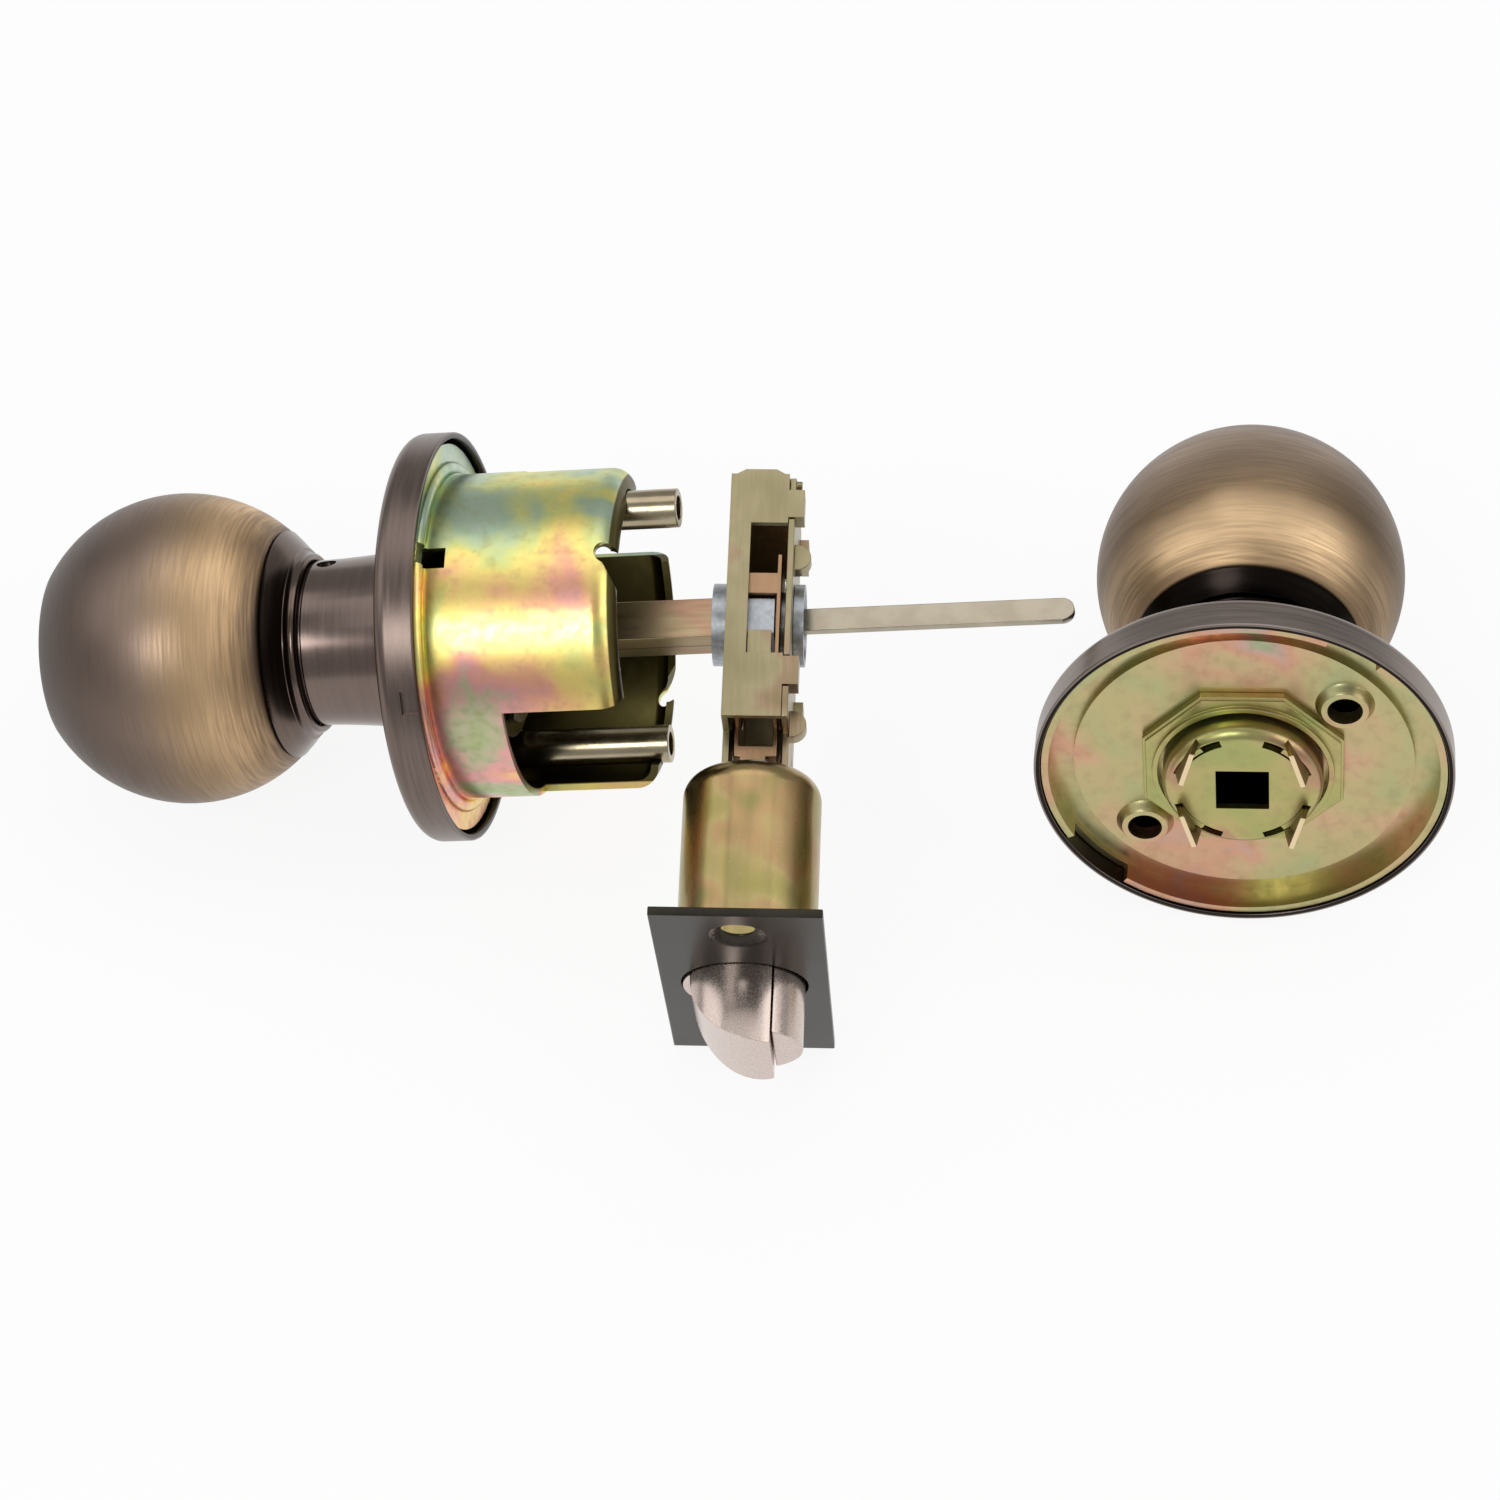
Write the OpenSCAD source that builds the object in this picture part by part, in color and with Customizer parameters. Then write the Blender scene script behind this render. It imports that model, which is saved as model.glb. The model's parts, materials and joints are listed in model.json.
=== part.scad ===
// Keyed door knob set, laid out on a bench as three groups.
// The outer half lies on its knob and the edge of its rose, the latch is threaded on the spindle,
// and the inner half lies beside them, showing the inside of its rose.
// Each half is drawn about its own axis z, with z = 0 at the open rim of its rose and the knob at
// negative z. The latch throws along x. The origin is the centre of the outer rose's rim.

/* [Knobs] */
// Diameter of the round knob
knob_d = 50; // [47:0.5:54]
// Thickness of the knob's sheet
knob_wall = 1.2; // [0.8:0.1:1.6]
// Radius to which the front of the ball is flattened
front_r = 40; // [34:1:60]
// How far the knob's front lies inside its full ball
front_drop = 2; // [1.6:0.1:2.4]
// Distance from the knob's centre to the rim of its rose
knob_reach = 45.9; // [43.5:0.1:50]
// Distance from the knob's centre to the seam of its back cap
seam_reach = 17; // [16.2:0.1:17.8]
// Width of the seam groove
seam_gap = 0.3; // [0.2:0.05:0.5]
// Radius of the rolled bead round the back cap's hole
bead_r = 0.65; // [0.5:0.05:0.9]
// Outer radius of the neck next to the knob
neck_r = 13.2; // [12.6:0.1:13.5]
// How much wider the neck is at the rose
neck_flare = 1.6; // [0.6:0.1:1.9]
// Thickness of the neck's tube
neck_wall = 1.2; // [0.9:0.1:1.5]
// Distance from the knob's centre to the catch hole in the neck
catch_reach = 24.6; // [24.2:0.1:27]
// Radius of the catch hole
catch_hole_r = 1.6; // [1.2:0.1:2]
// Travel of the catch
catch_travel = 1.6; // [1:0.1:2]

/* [Roses] */
// Diameter of each rose
rose_d = 65; // [63:0.5:72]
// Depth of each rose from its rim to its face
rose_depth = 6.5; // [6:0.1:7.5]
// Radius of the rose's rounded edge
rose_edge = 2; // [1:0.1:2.6]
// Thickness of the rose's sheet
rose_wall = 1; // [0.7:0.1:1.2]
// Clearance between a rose's hole and the neck in it
neck_clear = 0.35; // [0.3:0.05:0.6]
// Depth of the four pressed marks that hold the housing in the outer rose
mark_depth = 0.5; // [0.3:0.1:0.6]

/* [Housing] */
// Outer diameter of the cup that goes through the door
cup_d = 51.5; // [50.5:0.25:52.5]
// Length of the cup from the rim of the rose
cup_len = 29.4; // [27:0.1:33]
// Thickness of the cup's sheet
cup_wall = 1.2; // [0.9:0.1:1.5]
// Radius of the cup's rolled end
cup_edge = 3.6; // [2.5:0.1:4.4]
// How far the flange lies below the rim of the rose
flange_drop = 1.2; // [0.8:0.1:1.8]
// Radius of the bead at the root of the cup
root_bead_r = 1.1; // [0.8:0.1:1.4]
// Half the angle of the wide notch on the latch's side
front_notch = 36.5; // [32:0.5:40]
// Half the angle of the wide notch on the far side
back_notch = 35; // [30:1:37]
// Distance from the rim of the rose to the bottom of the wide notches
notch_floor = 10.8; // [9:0.2:13]
// Radius of the hooked bite in the cup's end
bite_r = 1.8; // [1.5:0.1:2.2]
// Length of the small slots at the root of the cup
slot_len = 4; // [3:0.1:4.4]
// Width of the small slots at the root of the cup
slot_w = 3.5; // [2.5:0.1:4]

/* [Posts] */
// Outer diameter of a threaded post
post_d = 6.1; // [5.6:0.1:6.4]
// Diameter of the circle that the posts stand on
post_circle = 40.6; // [40:0.2:41.8]
// Angle of the posts from the latch's direction
post_angle = 50; // [48:1:56]
// Distance from the rim of the rose to the end of the posts
post_len = 33.9; // [31:0.1:37]
// How much further one post stands out than the middle, and how much less the other
post_stagger = 3.1; // [0:0.1:3.4]
// Radius of the thread in the posts
post_thread_r = 1.9; // [1.5:0.1:2.2]
// Depth of the thread in the posts
post_thread_len = 16; // [12:1:20]

/* [Spindle] */
// Outer width of the square spindle
spindle_w = 6.6; // [6.4:0.1:6.8]
// Thickness of the spindle's sheet
spindle_wall = 0.8; // [0.6:0.05:0.9]
// Width of the key's tail bar
bar_w = 3.8; // [3.4:0.1:3.9]
// Thickness of the key's tail bar
bar_t = 1.7; // [1.2:0.1:1.8]
// Distance from the rim of the rose to the tip of the tail bar
bar_reach = 97; // [88:0.5:104]
// Running clearance between turning pieces
run_clear = 0.08; // [0.04:0.01:0.1]

/* [Key cylinder] */
// Radius of the cylinder in the knob
cylinder_r = 7.9; // [7.6:0.05:8.1]
// Length of the cylinder
cylinder_len = 27; // [26:0.5:29]
// Radius of the turning plug
plug_r = 6; // [5.8:0.05:6.3]
// Width of the keyway
keyway_w = 1.9; // [1.6:0.1:2.2]
// Radius of the pins
pin_r = 1.35; // [1.2:0.05:1.45]
// Number of pins
pin_count = 5; // [4:1:5]
// Distance between pins
pin_pitch = 4; // [3.6:0.1:4]

/* [Latch] */
// Distance from the spindle to the front of the faceplate
backset = 60; // [58:0.5:70]
// Distance from the rim of the outer rose to the middle of the latch
latch_at = 47.4; // [46:0.2:53]
// Width of the faceplate
faceplate_w = 25.4; // [25:0.2:28]
// Height of the faceplate
faceplate_h = 57.2; // [56:0.2:60]
// Thickness of the faceplate
faceplate_t = 1.4; // [1.2:0.1:2]
// Distance between the faceplate's screw holes
screw_spacing = 41.3; // [40:0.1:43]
// Radius of the faceplate's screw holes
screw_hole_r = 2.5; // [2.2:0.1:2.7]
// Radius of the faceplate's countersinks
screw_sink_r = 4.5; // [3.6:0.1:4.8]
// Outer diameter of the latch tube
tube_d = 21.4; // [21:0.1:22]
// Thickness of the latch tube
tube_wall = 1; // [0.7:0.05:1.1]
// Radius of the latch tube's rounded shoulder
tube_shoulder = 4; // [3:0.1:4.4]
// Distance from the spindle to the back of the latch tube
tube_back = 26.2; // [25.8:0.1:28]
// Width of the latch case along the spindle
case_w = 10.2; // [10:0.1:11]
// Height of the latch case
case_h = 21; // [20.6:0.1:22]
// Thickness of the latch case's sheet
case_wall = 1; // [0.8:0.05:1.1]
// Distance from the spindle to the back of the latch case
case_back = 21.4; // [21:0.1:23]
// Distance from the spindle to the front of the latch case
case_front = 20.2; // [19:0.1:21]
// Radius of the hub's flanges
hub_flange_r = 6.5; // [6.2:0.1:7]
// Length of the hub along the spindle
hub_len = 14.3; // [14:0.1:15]
// Radius of the hub's journals
hub_r = 5.2; // [5:0.05:5.4]
// Reach of the hub's wings
wing_reach = 7.9; // [7.4:0.1:8]
// Half the width of the hub's wings
wing_half = 2.9; // [2.4:0.1:3.1]
// Clearance of the spindle in the hub, on each side
hub_clear = 0.3; // [0.26:0.02:0.34]
// Travel of the bolt
throw = 12; // [11:0.1:12.2]
// How far the latch bolt stands out of the faceplate
bolt_out = 12; // [11.5:0.1:13.5]
// How far the guard bolt stands out of the faceplate
guard_out = 10.2; // [9.6:0.1:12]
// Radius of the latch bolt
bolt_r = 9.35; // [8.9:0.05:9.4]
// Distance from the latch's axis to the bolt's flat side
bolt_flat = 4.5; // [4:0.1:4.8]
// Clearance between the two bolts and round them
bolt_clear = 0.25; // [0.2:0.05:0.4]

// How far the latch case stands towards the inner side of the hub's middle
case_shift = 0.4; // [0.2:0.05:0.5]
// Angle by which the latch hangs askew on the tip of the spindle
sway = 7.4; // [6.6:0.1:7.8]
// How far the spindle's tip reaches into the hub
spindle_in_hub = 2.8; // [2.2:0.1:3]

/* [Inner half] */
// Distance on the bench from the outer rose's rim to the inner rose's rim, to the right
inner_right = 123.3; // [118:0.2:150]
// Distance on the bench from the outer rose's rim to the inner rose's rim, forwards
inner_forward = 18; // [0:0.2:40]
// Heading of the inner half's axis
inner_heading = -92.6; // [-120:0.1:-75]
// Roll of the inner half about its own axis
inner_roll = 187; // [180:1:210]
// How far the liner's middle lies below the rim of the inner rose
liner_drop = 3; // [2.4:0.1:3.4]
// How much deeper the liner's outer trough is
trough_drop = 1.3; // [0.6:0.1:1.5]
// Radius of the liner's raised middle
liner_step_r = 26.4; // [25.2:0.1:26.6]
// Thickness of the liner's sheet
liner_wall = 1.1; // [0.8:0.05:1.2]
// Radius of the liner's screw holes
liner_hole_r = 2.7; // [2.4:0.1:3]
// Height of the collars round the liner's screw holes
collar_h = 1.5; // [1:0.1:2]
// Distance between opposite flats of the eight-sided lock plate
lock_plate_w = 31; // [29:0.1:31.2]
// Thickness of the lock plate
lock_plate_t = 1.6; // [1.2:0.1:2]
// Radius of the retainer that carries the knob's claws
retainer_r = 12.4; // [11.8:0.1:12.6]
// How far the retainer stands out past the rim of the rose
retainer_out = 2.8; // [2:0.1:3.4]
// Width of the square hole for the spindle
socket_w = 8.2; // [7.6:0.1:8.6]
// Length of the claws past the retainer
claw_out = 2.6; // [1.6:0.1:3]
// Radius of the turn button
button_r = 5.2; // [4.6:0.1:5.6]
// How far the turn button stands out of the knob
button_out = 4.5; // [3:0.1:5]

/* [Hidden] */
$fn = 96;

// How far a cut runs past the face it opens
cut = 1;

knob_r = knob_d / 2;
rose_r = rose_d / 2;
cup_r = cup_d / 2;
front_apex = front_drop - knob_r;
front_centre = front_apex + front_r;
front_z = front_apex + 0.5;
neck_end_r = neck_r + neck_flare;
neck_in_r = neck_r - neck_wall;
rose_hole_r = neck_end_r + neck_clear;
rose_in_r = rose_r - rose_wall;

// The outer half lies on its knob and the rounded edge of its rose
lie_a = rose_r - rose_edge;
lie_b = knob_reach - rose_depth + rose_edge;
tilt = acos((knob_r - rose_edge) / norm([lie_a, lie_b])) - atan2(lie_b, lie_a);
rim_height = knob_r + knob_reach * sin(tilt);

// The latch hangs on the spindle's tip until the lower edge of its faceplate meets the bench
hub_half = hub_len / 2;
sway_at = hub_half - spindle_in_hub + 0.45;
low_side = sway_at - faceplate_w / 2;
hang_h = (rim_height + (latch_at - sway_at + low_side * cos(sway)) * sin(tilt)
    - faceplate_h / 2 * sin(tilt) * sin(sway)) / cos(tilt);
hang_drop = low_side * sin(sway) + faceplate_h / 2 * cos(sway);
dip = asin(hang_h / norm([backset, hang_drop])) - atan2(hang_drop, backset);

// Back cap and neck, measured from the knob's centre
cap_start = seam_reach + seam_gap;
cap_top = cap_start + 3.6;
neck_start = cap_top + 1.6;
neck_in_start = seam_reach + 1.2;
neck_stop = knob_reach - rose_depth + rose_wall + 0.5;
neck_bend = neck_stop - 7;
neck_bend_r = neck_r + 0.45 * neck_flare;
cap_push = 0.6;
cap_skin = 0.25;
cap_hole_r = neck_r - 0.05;
neck_spigot_r = neck_r - 0.25;

// Sleeve that carries the knob through the rose
sleeve_r = neck_in_r - run_clear;
sleeve_wall = 1.3;
sleeve_in_r = sleeve_r - sleeve_wall;
sleeve_start = catch_reach - 3;
sleeve_hole_r = sleeve_r + run_clear;
catch_angle = -136;
strip_t = 0.6;
strip_w = 4.4;
strip_len = 15;
strip_gap = 0.8;

// Plates inside the outer rose
flange_t = cup_wall;
flange_r = rose_in_r - 0.8;
flange_top = -flange_drop;
root_swell = 0.2;
plate_t = 1.4;
plate_top = flange_top - flange_t;
plate_r = flange_r - 0.8;
cage_r = post_circle / 2 - post_d / 2 - 0.9;
cage_wall = 0.8;
cage_top = 7;
ring_t = 1;
ring_z = cage_top + 0.2;
sleeve_end = ring_z + ring_t + 0.8;
ring_r = sleeve_r + 2;
groove = 0.6;
spring_t = 0.8;
spring_r = (sleeve_r + cage_r - cage_wall) / 2;
mark_w = 3.6;
mark_len = 2.5;
mark_at = -1.5;
mark_angle = -46.8;
foot_r = post_d / 2 + 0.3;
foot_h = 1.3;
post_clear = 0.3;
post_ends = [post_len - post_stagger, post_len + post_stagger];
bite_at = -92.5;
bite_z = cup_len - 1.3;
slot_low = -1;

// Spindle
spindle_end = latch_at - sway_at - (hub_half - sway_at) * cos(sway) + spindle_in_hub;
spindle_in = spindle_w - 2 * spindle_wall;
disc_t = 1.2;
disc_top = 0;
bar_start = front_z + cylinder_len - knob_reach;

// Key cylinder, measured from the knob's centre
cylinder_end = front_z + cylinder_len;
plug_start = front_z - 0.5;
plug_end = cylinder_end + 1.7;
clip_z = cylinder_end + 0.35;
clip_t = 0.7;
chamber_r = pin_r + 0.1;
chimney_w = 6.4;
chimney_h = 12.2;
chimney_start = front_z + 5.3;
first_pin = front_z + 7;
cover_t = 0.8;
shear_gap = 0.2;
pin_low = 1.2;
driver_len = 2.9;
spring_gap = 0.2;

// Latch, measured from the hub's centre
case_top = case_h / 2;
case_side = case_w / 2;
case_in_y = case_top - case_wall;
case_in_z = case_side - case_wall;
journal_r = hub_r + run_clear;
tab_t = 1.4;
tab_reach = 3.6;
lip_reach = 0.8;
tab_w = 4.8;
tab_inset = [2.8, 5.4];
rear_tab = [tab_inset[0] - case_back, tab_inset[0] + tab_w - case_back];
front_tab = [case_front - tab_inset[1] - tab_w, case_front - tab_inset[1]];
window = [rear_tab[1] + 1, front_tab[0] - 0.5];
window_left = -case_side + 3.4;
arm_half = 4.6;
arm_end = tube_back + 3.3;
tube_r = tube_d / 2;
tube_front = backset - faceplate_t;
yoke_t = 0.7;
yoke_z = case_in_z - 0.8;
yoke_back = -case_back + case_wall + 0.3 + throw;
yoke_front = case_front + 2.4;
yoke_end = yoke_front + 1.8;
yoke_h = case_in_y - 0.5;
slot_gap = 0.3;
flange_z = [case_side + case_shift + 0.1, case_side - case_shift + 0.1];
mouth_r = hub_flange_r - 0.9;
mouth_depth = 1;
wing_z = yoke_z - yoke_t - slot_gap;
wing_mid = 2;
wing_gap = 0.4;
wing_back = wing_mid - wing_half - wing_gap;
block_len = 3.6;
block_depth = 3;
case_block_depth = 1;
strap_in = 3.4;
strap_t = 1.2;
strap_half = 2;
strap_short = 12;
strap_end = backset - strap_short;
bolt_back = strap_end - 4;
bolt_bore_r = 3.2;
bolt_bore_end = backset + 6;
spring_wall = 0.8;
guide_r = 1.5;
guide_end = bolt_back + 2;
bevel_r = bolt_out - 0.4;
bevel_x = backset + 0.4;
bevel_z = bolt_flat - 0.9;
guard_flat = bolt_flat + bolt_clear;
guard_back = bolt_back - 2;
guard_r = bolt_r - 0.2;
guard_bore_r = 1.2;
guard_spring_r = 1.1;
guard_spring_len = 14;
opening_r = bolt_r + bolt_clear;
ear_r = 2.2;
ear_y = -case_top + 3.6;
ear_t = 2.6;
ears = [-8.2, case_front - 1.4];

// Inner half
liner_top = -liner_drop;
trough_top = liner_top - trough_drop;
liner_r = rose_in_r - 0.15;
liner_lip = 0.5;
inner_spring_r = neck_end_r + 1;
small_notch = 8.5;
large_notch = 12;
retainer_t = 1.2;
retainer_fillet = 2;
claw_r = retainer_r - 2.4;
claw_t = 0.9;
claw_half = 15;
claw_len = 5.4;
claw_lean = 0.4;
claw_turn = 6;
claw_twist = 26;
lock_turn = -4;
claw_slot_half = 27;
lock_top = liner_top + lock_plate_t;
lock_hole_r = retainer_r + 0.8;
lip_w = 0.9;
lip_h = 0.7;
step_z = liner_top - 0.6;
button_plate_t = 1.2;
stem_r = 3.4;
stem_socket = 12;
stem_end = knob_reach - rose_depth - 1;
button_blade = 2.8;

// Placing: the outer half's frame, with x along the latch and z along the spindle
module outer_half() {
    rotate([0, 90 - tilt, 0])
        rotate([0, 0, dip - 90])
            children();
}

// The outer knob's centre
module outer_knob() {
    outer_half()
        translate([0, 0, -knob_reach])
            children();
}

// The latch hub's centre
module latch() {
    outer_half()
        translate([0, 0, latch_at - sway_at])
            rotate([-sway, 0, 0])
                translate([0, 0, sway_at])
                    children();
}

// The middle of the latch case
module case_middle() {
    latch()
        translate([0, 0, case_shift])
            children();
}

// The inner half's frame, with z = 0 at the rim of its rose
module inner_half() {
    translate([inner_right, -inner_forward, 0])
        rotate([0, 90 - tilt, inner_heading])
            rotate([0, 0, inner_roll])
                children();
}

// The inner knob's centre
module inner_knob() {
    inner_half()
        translate([0, 0, -knob_reach])
            children();
}

// Plain shapes
module ring(outer, inner, start, stop) {
    translate([0, 0, start])
        difference() {
            cylinder(r = outer, h = stop - start);
            translate([0, 0, -cut])
                cylinder(r = inner, h = stop - start + 2 * cut);
        }
}

module block(x, y, z) {
    translate([x[0], y[0], z[0]])
        cube([x[1] - x[0], y[1] - y[0], z[1] - z[0]]);
}

module both_sides() {
    children();
    mirror([0, 1, 0])
        children();
}

// Ball of the knob, flattened at the front, open there and at the seam of its back cap
module ball(hole_r) {
    difference() {
        ball_solid(0);
        ball_solid(knob_wall);
        translate([0, 0, front_apex - cut])
            cylinder(r = hole_r, h = knob_wall + 3 * cut);
    }
}

module ball_solid(inset) {
    intersection() {
        sphere(r = knob_r - inset);
        translate([0, 0, front_centre])
            sphere(r = front_r - inset);
        translate([0, 0, front_apex])
            cylinder(r = knob_r, h = seam_reach - front_apex + (inset > 0 ? cut : 0));
    }
}

// Back cap: it goes on from the ball, steps in to a rolled bead, and seats in the ball's rim
module back_cap() {
    rim_r = sqrt(pow(knob_r - knob_wall, 2) - pow(seam_reach, 2)) - run_clear;
    rotate_extrude() {
        difference() {
            intersection() {
                translate([0, cap_push])
                    circle(r = knob_r - cap_skin);
                translate([cap_hole_r, cap_start])
                    square([knob_r, cap_top - cap_start]);
            }
            translate([0, cap_push])
                circle(r = knob_r - knob_wall - cap_skin);
        }
        difference() {
            translate([rim_r - knob_wall, seam_reach - 2])
                square([knob_wall, 3]);
            translate([0, cap_start + 0.6])
                square([rim_r, 3]);
        }
        translate([cap_hole_r + bead_r, cap_top + bead_r / 2])
            circle(r = bead_r);
    }
}

// Neck: a tube with a spigot in the back cap and a slight flare towards the rose
module neck() {
    difference() {
        union() {
            translate([0, 0, neck_in_start])
                cylinder(r = neck_spigot_r, h = neck_start - neck_in_start);
            translate([0, 0, neck_start])
                cylinder(r1 = neck_r, r2 = neck_bend_r, h = neck_bend - neck_start);
            translate([0, 0, neck_bend])
                cylinder(r1 = neck_bend_r, r2 = neck_end_r, h = neck_stop - neck_bend);
        }
        translate([0, 0, neck_in_start - cut])
            cylinder(r = neck_in_r, h = neck_stop - neck_in_start + 2 * cut);
        catch_bore();
    }
}

module catch_bore() {
    rotate([0, 0, catch_angle])
        translate([0, 0, catch_reach])
            rotate([0, 90, 0])
                cylinder(r = catch_hole_r, h = neck_end_r + cut);
}

// Spring strip inside the sleeve with the button that locks the knob on
module catch_strip() {
    rotate([0, 0, catch_angle]) {
        translate([sleeve_in_r - strip_gap - strip_t, 0, catch_reach])
            rotate([0, 90, 0])
                cylinder(r = catch_hole_r - 0.15, h = neck_r - 0.8 - sleeve_in_r + strip_gap + strip_t);
        translate([sleeve_in_r - strip_gap - strip_t, -strip_w / 2, catch_reach - 2.4])
            cube([strip_t, strip_w, strip_len]);
    }
}

// Rose: a shallow dish with a rounded edge and a hole for the neck
module dish() {
    rotate_extrude()
        difference() {
            dish_outline(0);
            dish_outline(rose_wall);
            translate([0, -rose_depth - cut])
                square([rose_hole_r, rose_depth + 2 * cut]);
        }
}

module dish_outline(inset) {
    edge = max(rose_edge - inset, 0.3);
    height = rose_depth - inset + (inset > 0 ? cut : 0);
    translate([0, inset - rose_depth + edge])
        square([rose_r - inset, height - edge]);
    translate([0, inset - rose_depth])
        square([rose_r - inset - edge, height]);
    translate([rose_r - inset - edge, inset - rose_depth + edge])
        circle(r = edge);
}

// Outer rose, with four pressed marks behind the housing's flange
module outer_rose() {
    color("#857068")
        outer_half()
            difference() {
                union() {
                    dish();
                    for (turn = [0:120:240])
                        rotate([0, 0, mark_angle + turn])
                            block([flange_r + 0.2, rose_in_r + 0.3], [-mark_w / 2, mark_w / 2],
                                [plate_top - mark_len, plate_top]);
                }
                for (turn = [0:120:240])
                    rotate([0, 0, mark_angle + turn])
                        block([rose_r - mark_depth, rose_r + cut], [-mark_w / 2, mark_w / 2],
                            [mark_at - mark_len / 2, mark_at + mark_len / 2]);
            }
}

// Cup that fits the hole through the door, rolled in at its open end
module outer_housing() {
    color("#c9bf72")
        outer_half()
            difference() {
                rotate_extrude()
                    cup_outline();
                wide_notch(0, front_notch);
                wide_notch(180, back_notch);
                for (turn = [0, 180])
                    rotate([0, 0, turn + bite_at]) {
                        hooked_bite();
                        block([cup_r - 2 * cup_wall, cup_r + 3 * root_bead_r],
                            [-slot_w / 2, slot_w / 2], [slot_low, slot_low + slot_len]);
                    }
                posts_at()
                    translate([0, 0, cup_len - cup_edge])
                        cylinder(r = post_d / 2 + post_clear, h = cup_edge + cut);
            }
}

module cup_outline() {
    bend = cup_len - cup_edge;
    translate([cup_r - cup_wall, plate_top])
        square([cup_wall, bend - plate_top]);
    translate([cup_r - cup_wall, plate_top])
        square([cup_wall + root_swell, -plate_top]);
    translate([cup_r - cup_wall, plate_top])
        square([flange_r - cup_r + cup_wall, flange_t]);
    difference() {
        translate([cup_r + root_bead_r, flange_top])
            circle(r = root_bead_r);
        translate([0, plate_top - 2 * root_bead_r])
            square([flange_r, 2 * root_bead_r]);
    }
    intersection() {
        difference() {
            translate([cup_r - cup_edge, bend])
                circle(r = cup_edge);
            translate([cup_r - cup_edge, bend])
                circle(r = cup_edge - cup_wall);
        }
        translate([cup_r - cup_edge, bend])
            square([cup_edge, cup_edge]);
    }
}

module wide_notch(heading, half) {
    far = 2 * cup_r;
    translate([0, 0, notch_floor])
        rotate([0, 0, heading])
            linear_extrude(cup_len)
                polygon([[0, 0], far * [cos(half), -sin(half)], far * [1, 0],
                    far * [cos(half), sin(half)]]);
}

// Rounded bite with a hook over its mouth, cut outwards along x
module hooked_bite() {
    translate([cup_r / 2, 0, 0])
        rotate([90, 0, 90])
            linear_extrude(cup_r) {
                translate([0, bite_z])
                    circle(r = bite_r);
                polygon([[-0.5, cup_len - 0.1], [bite_r - 0.1, bite_z - 0.5], [bite_r + 3, cup_len],
                    [bite_r + 3, cup_len + cut], [-2.4, cup_len + cut], [-2.4, cup_len]]);
            }
}

// Base plate that carries the posts and the spring cage behind the flange
module outer_base_plate() {
    color("#bfb06a")
        outer_half()
            difference() {
                ring(plate_r, sleeve_hole_r, plate_top - plate_t, plate_top);
                posts_at()
                    translate([0, 0, plate_top - plate_t - cut])
                        cylinder(r = post_d / 2 - 0.6, h = plate_t + 2 * cut);
            }
}

module posts_at() {
    for (turn = [0, 180])
        rotate([0, 0, post_angle + turn])
            translate([post_circle / 2, 0, 0])
                children();
}

// Posts: riveted into the base plate, threaded from their free ends
module mounting_posts() {
    color("#a08f62")
        outer_half()
            for (i = [0, 1])
                rotate([0, 0, post_angle + 180 * i])
                    translate([post_circle / 2, 0, 0])
                        post(post_ends[i]);
}

module post(stop) {
    difference() {
        union() {
            translate([0, 0, plate_top - plate_t])
                cylinder(r = post_d / 2 - 0.6, h = plate_t);
            translate([0, 0, plate_top])
                cylinder(r = foot_r, h = foot_h);
            translate([0, 0, plate_top])
                cylinder(r = post_d / 2, h = stop - plate_top);
        }
        translate([0, 0, stop - post_thread_len])
            cylinder(r = post_thread_r, h = post_thread_len + cut);
    }
}

// Cage over the return spring, round the sleeve
module outer_spring_cage() {
    color("#b9ae74")
        outer_half()
            difference() {
                translate([0, 0, plate_top])
                    cylinder(r = cage_r, h = cage_top - plate_top);
                translate([0, 0, plate_top - cut])
                    cylinder(r = cage_r - cage_wall, h = cage_top - cage_wall - plate_top + cut);
                cylinder(r = sleeve_hole_r, h = cage_top + cut);
            }
}

// Return spring: an open band round the sleeve with two turned-out ends
module outer_return_spring() {
    color("#8d8f92")
        outer_half()
            difference() {
                ring(spring_r + spring_t / 2, spring_r - spring_t / 2, plate_top + 0.1,
                    cage_top - cage_wall - 0.4);
                block([0, cage_r], [-1.5, 1.5], [plate_top, cage_top]);
            }
}

// Outer knob
module outer_knob_shell() {
    color("#9c7f58")
        outer_knob()
            ball(cylinder_r + 0.05);
}

module outer_back_cap() {
    color("#4a3a33")
        outer_knob()
            back_cap();
}

module outer_neck() {
    color("#6e5c55")
        outer_knob()
            neck();
}

// Sleeve from the neck through the rose, grooved for its ring
module outer_sleeve() {
    color("#b5a671")
        outer_knob()
            difference() {
                ring(sleeve_r, sleeve_in_r, sleeve_start, knob_reach + sleeve_end);
                ring(sleeve_r + cut, sleeve_r - groove, knob_reach + ring_z,
                    knob_reach + ring_z + ring_t);
                catch_bore();
            }
}

// Spring ring that keeps the sleeve in the cage
module sleeve_ring() {
    color("#8c8c8a")
        outer_half()
            difference() {
                ring(ring_r, sleeve_r - groove + 0.05, ring_z + 0.05, ring_z + ring_t - 0.05);
                block([0, 2 * ring_r], [-2, 2], [ring_z - cut, ring_z + ring_t + cut]);
            }
}

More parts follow.
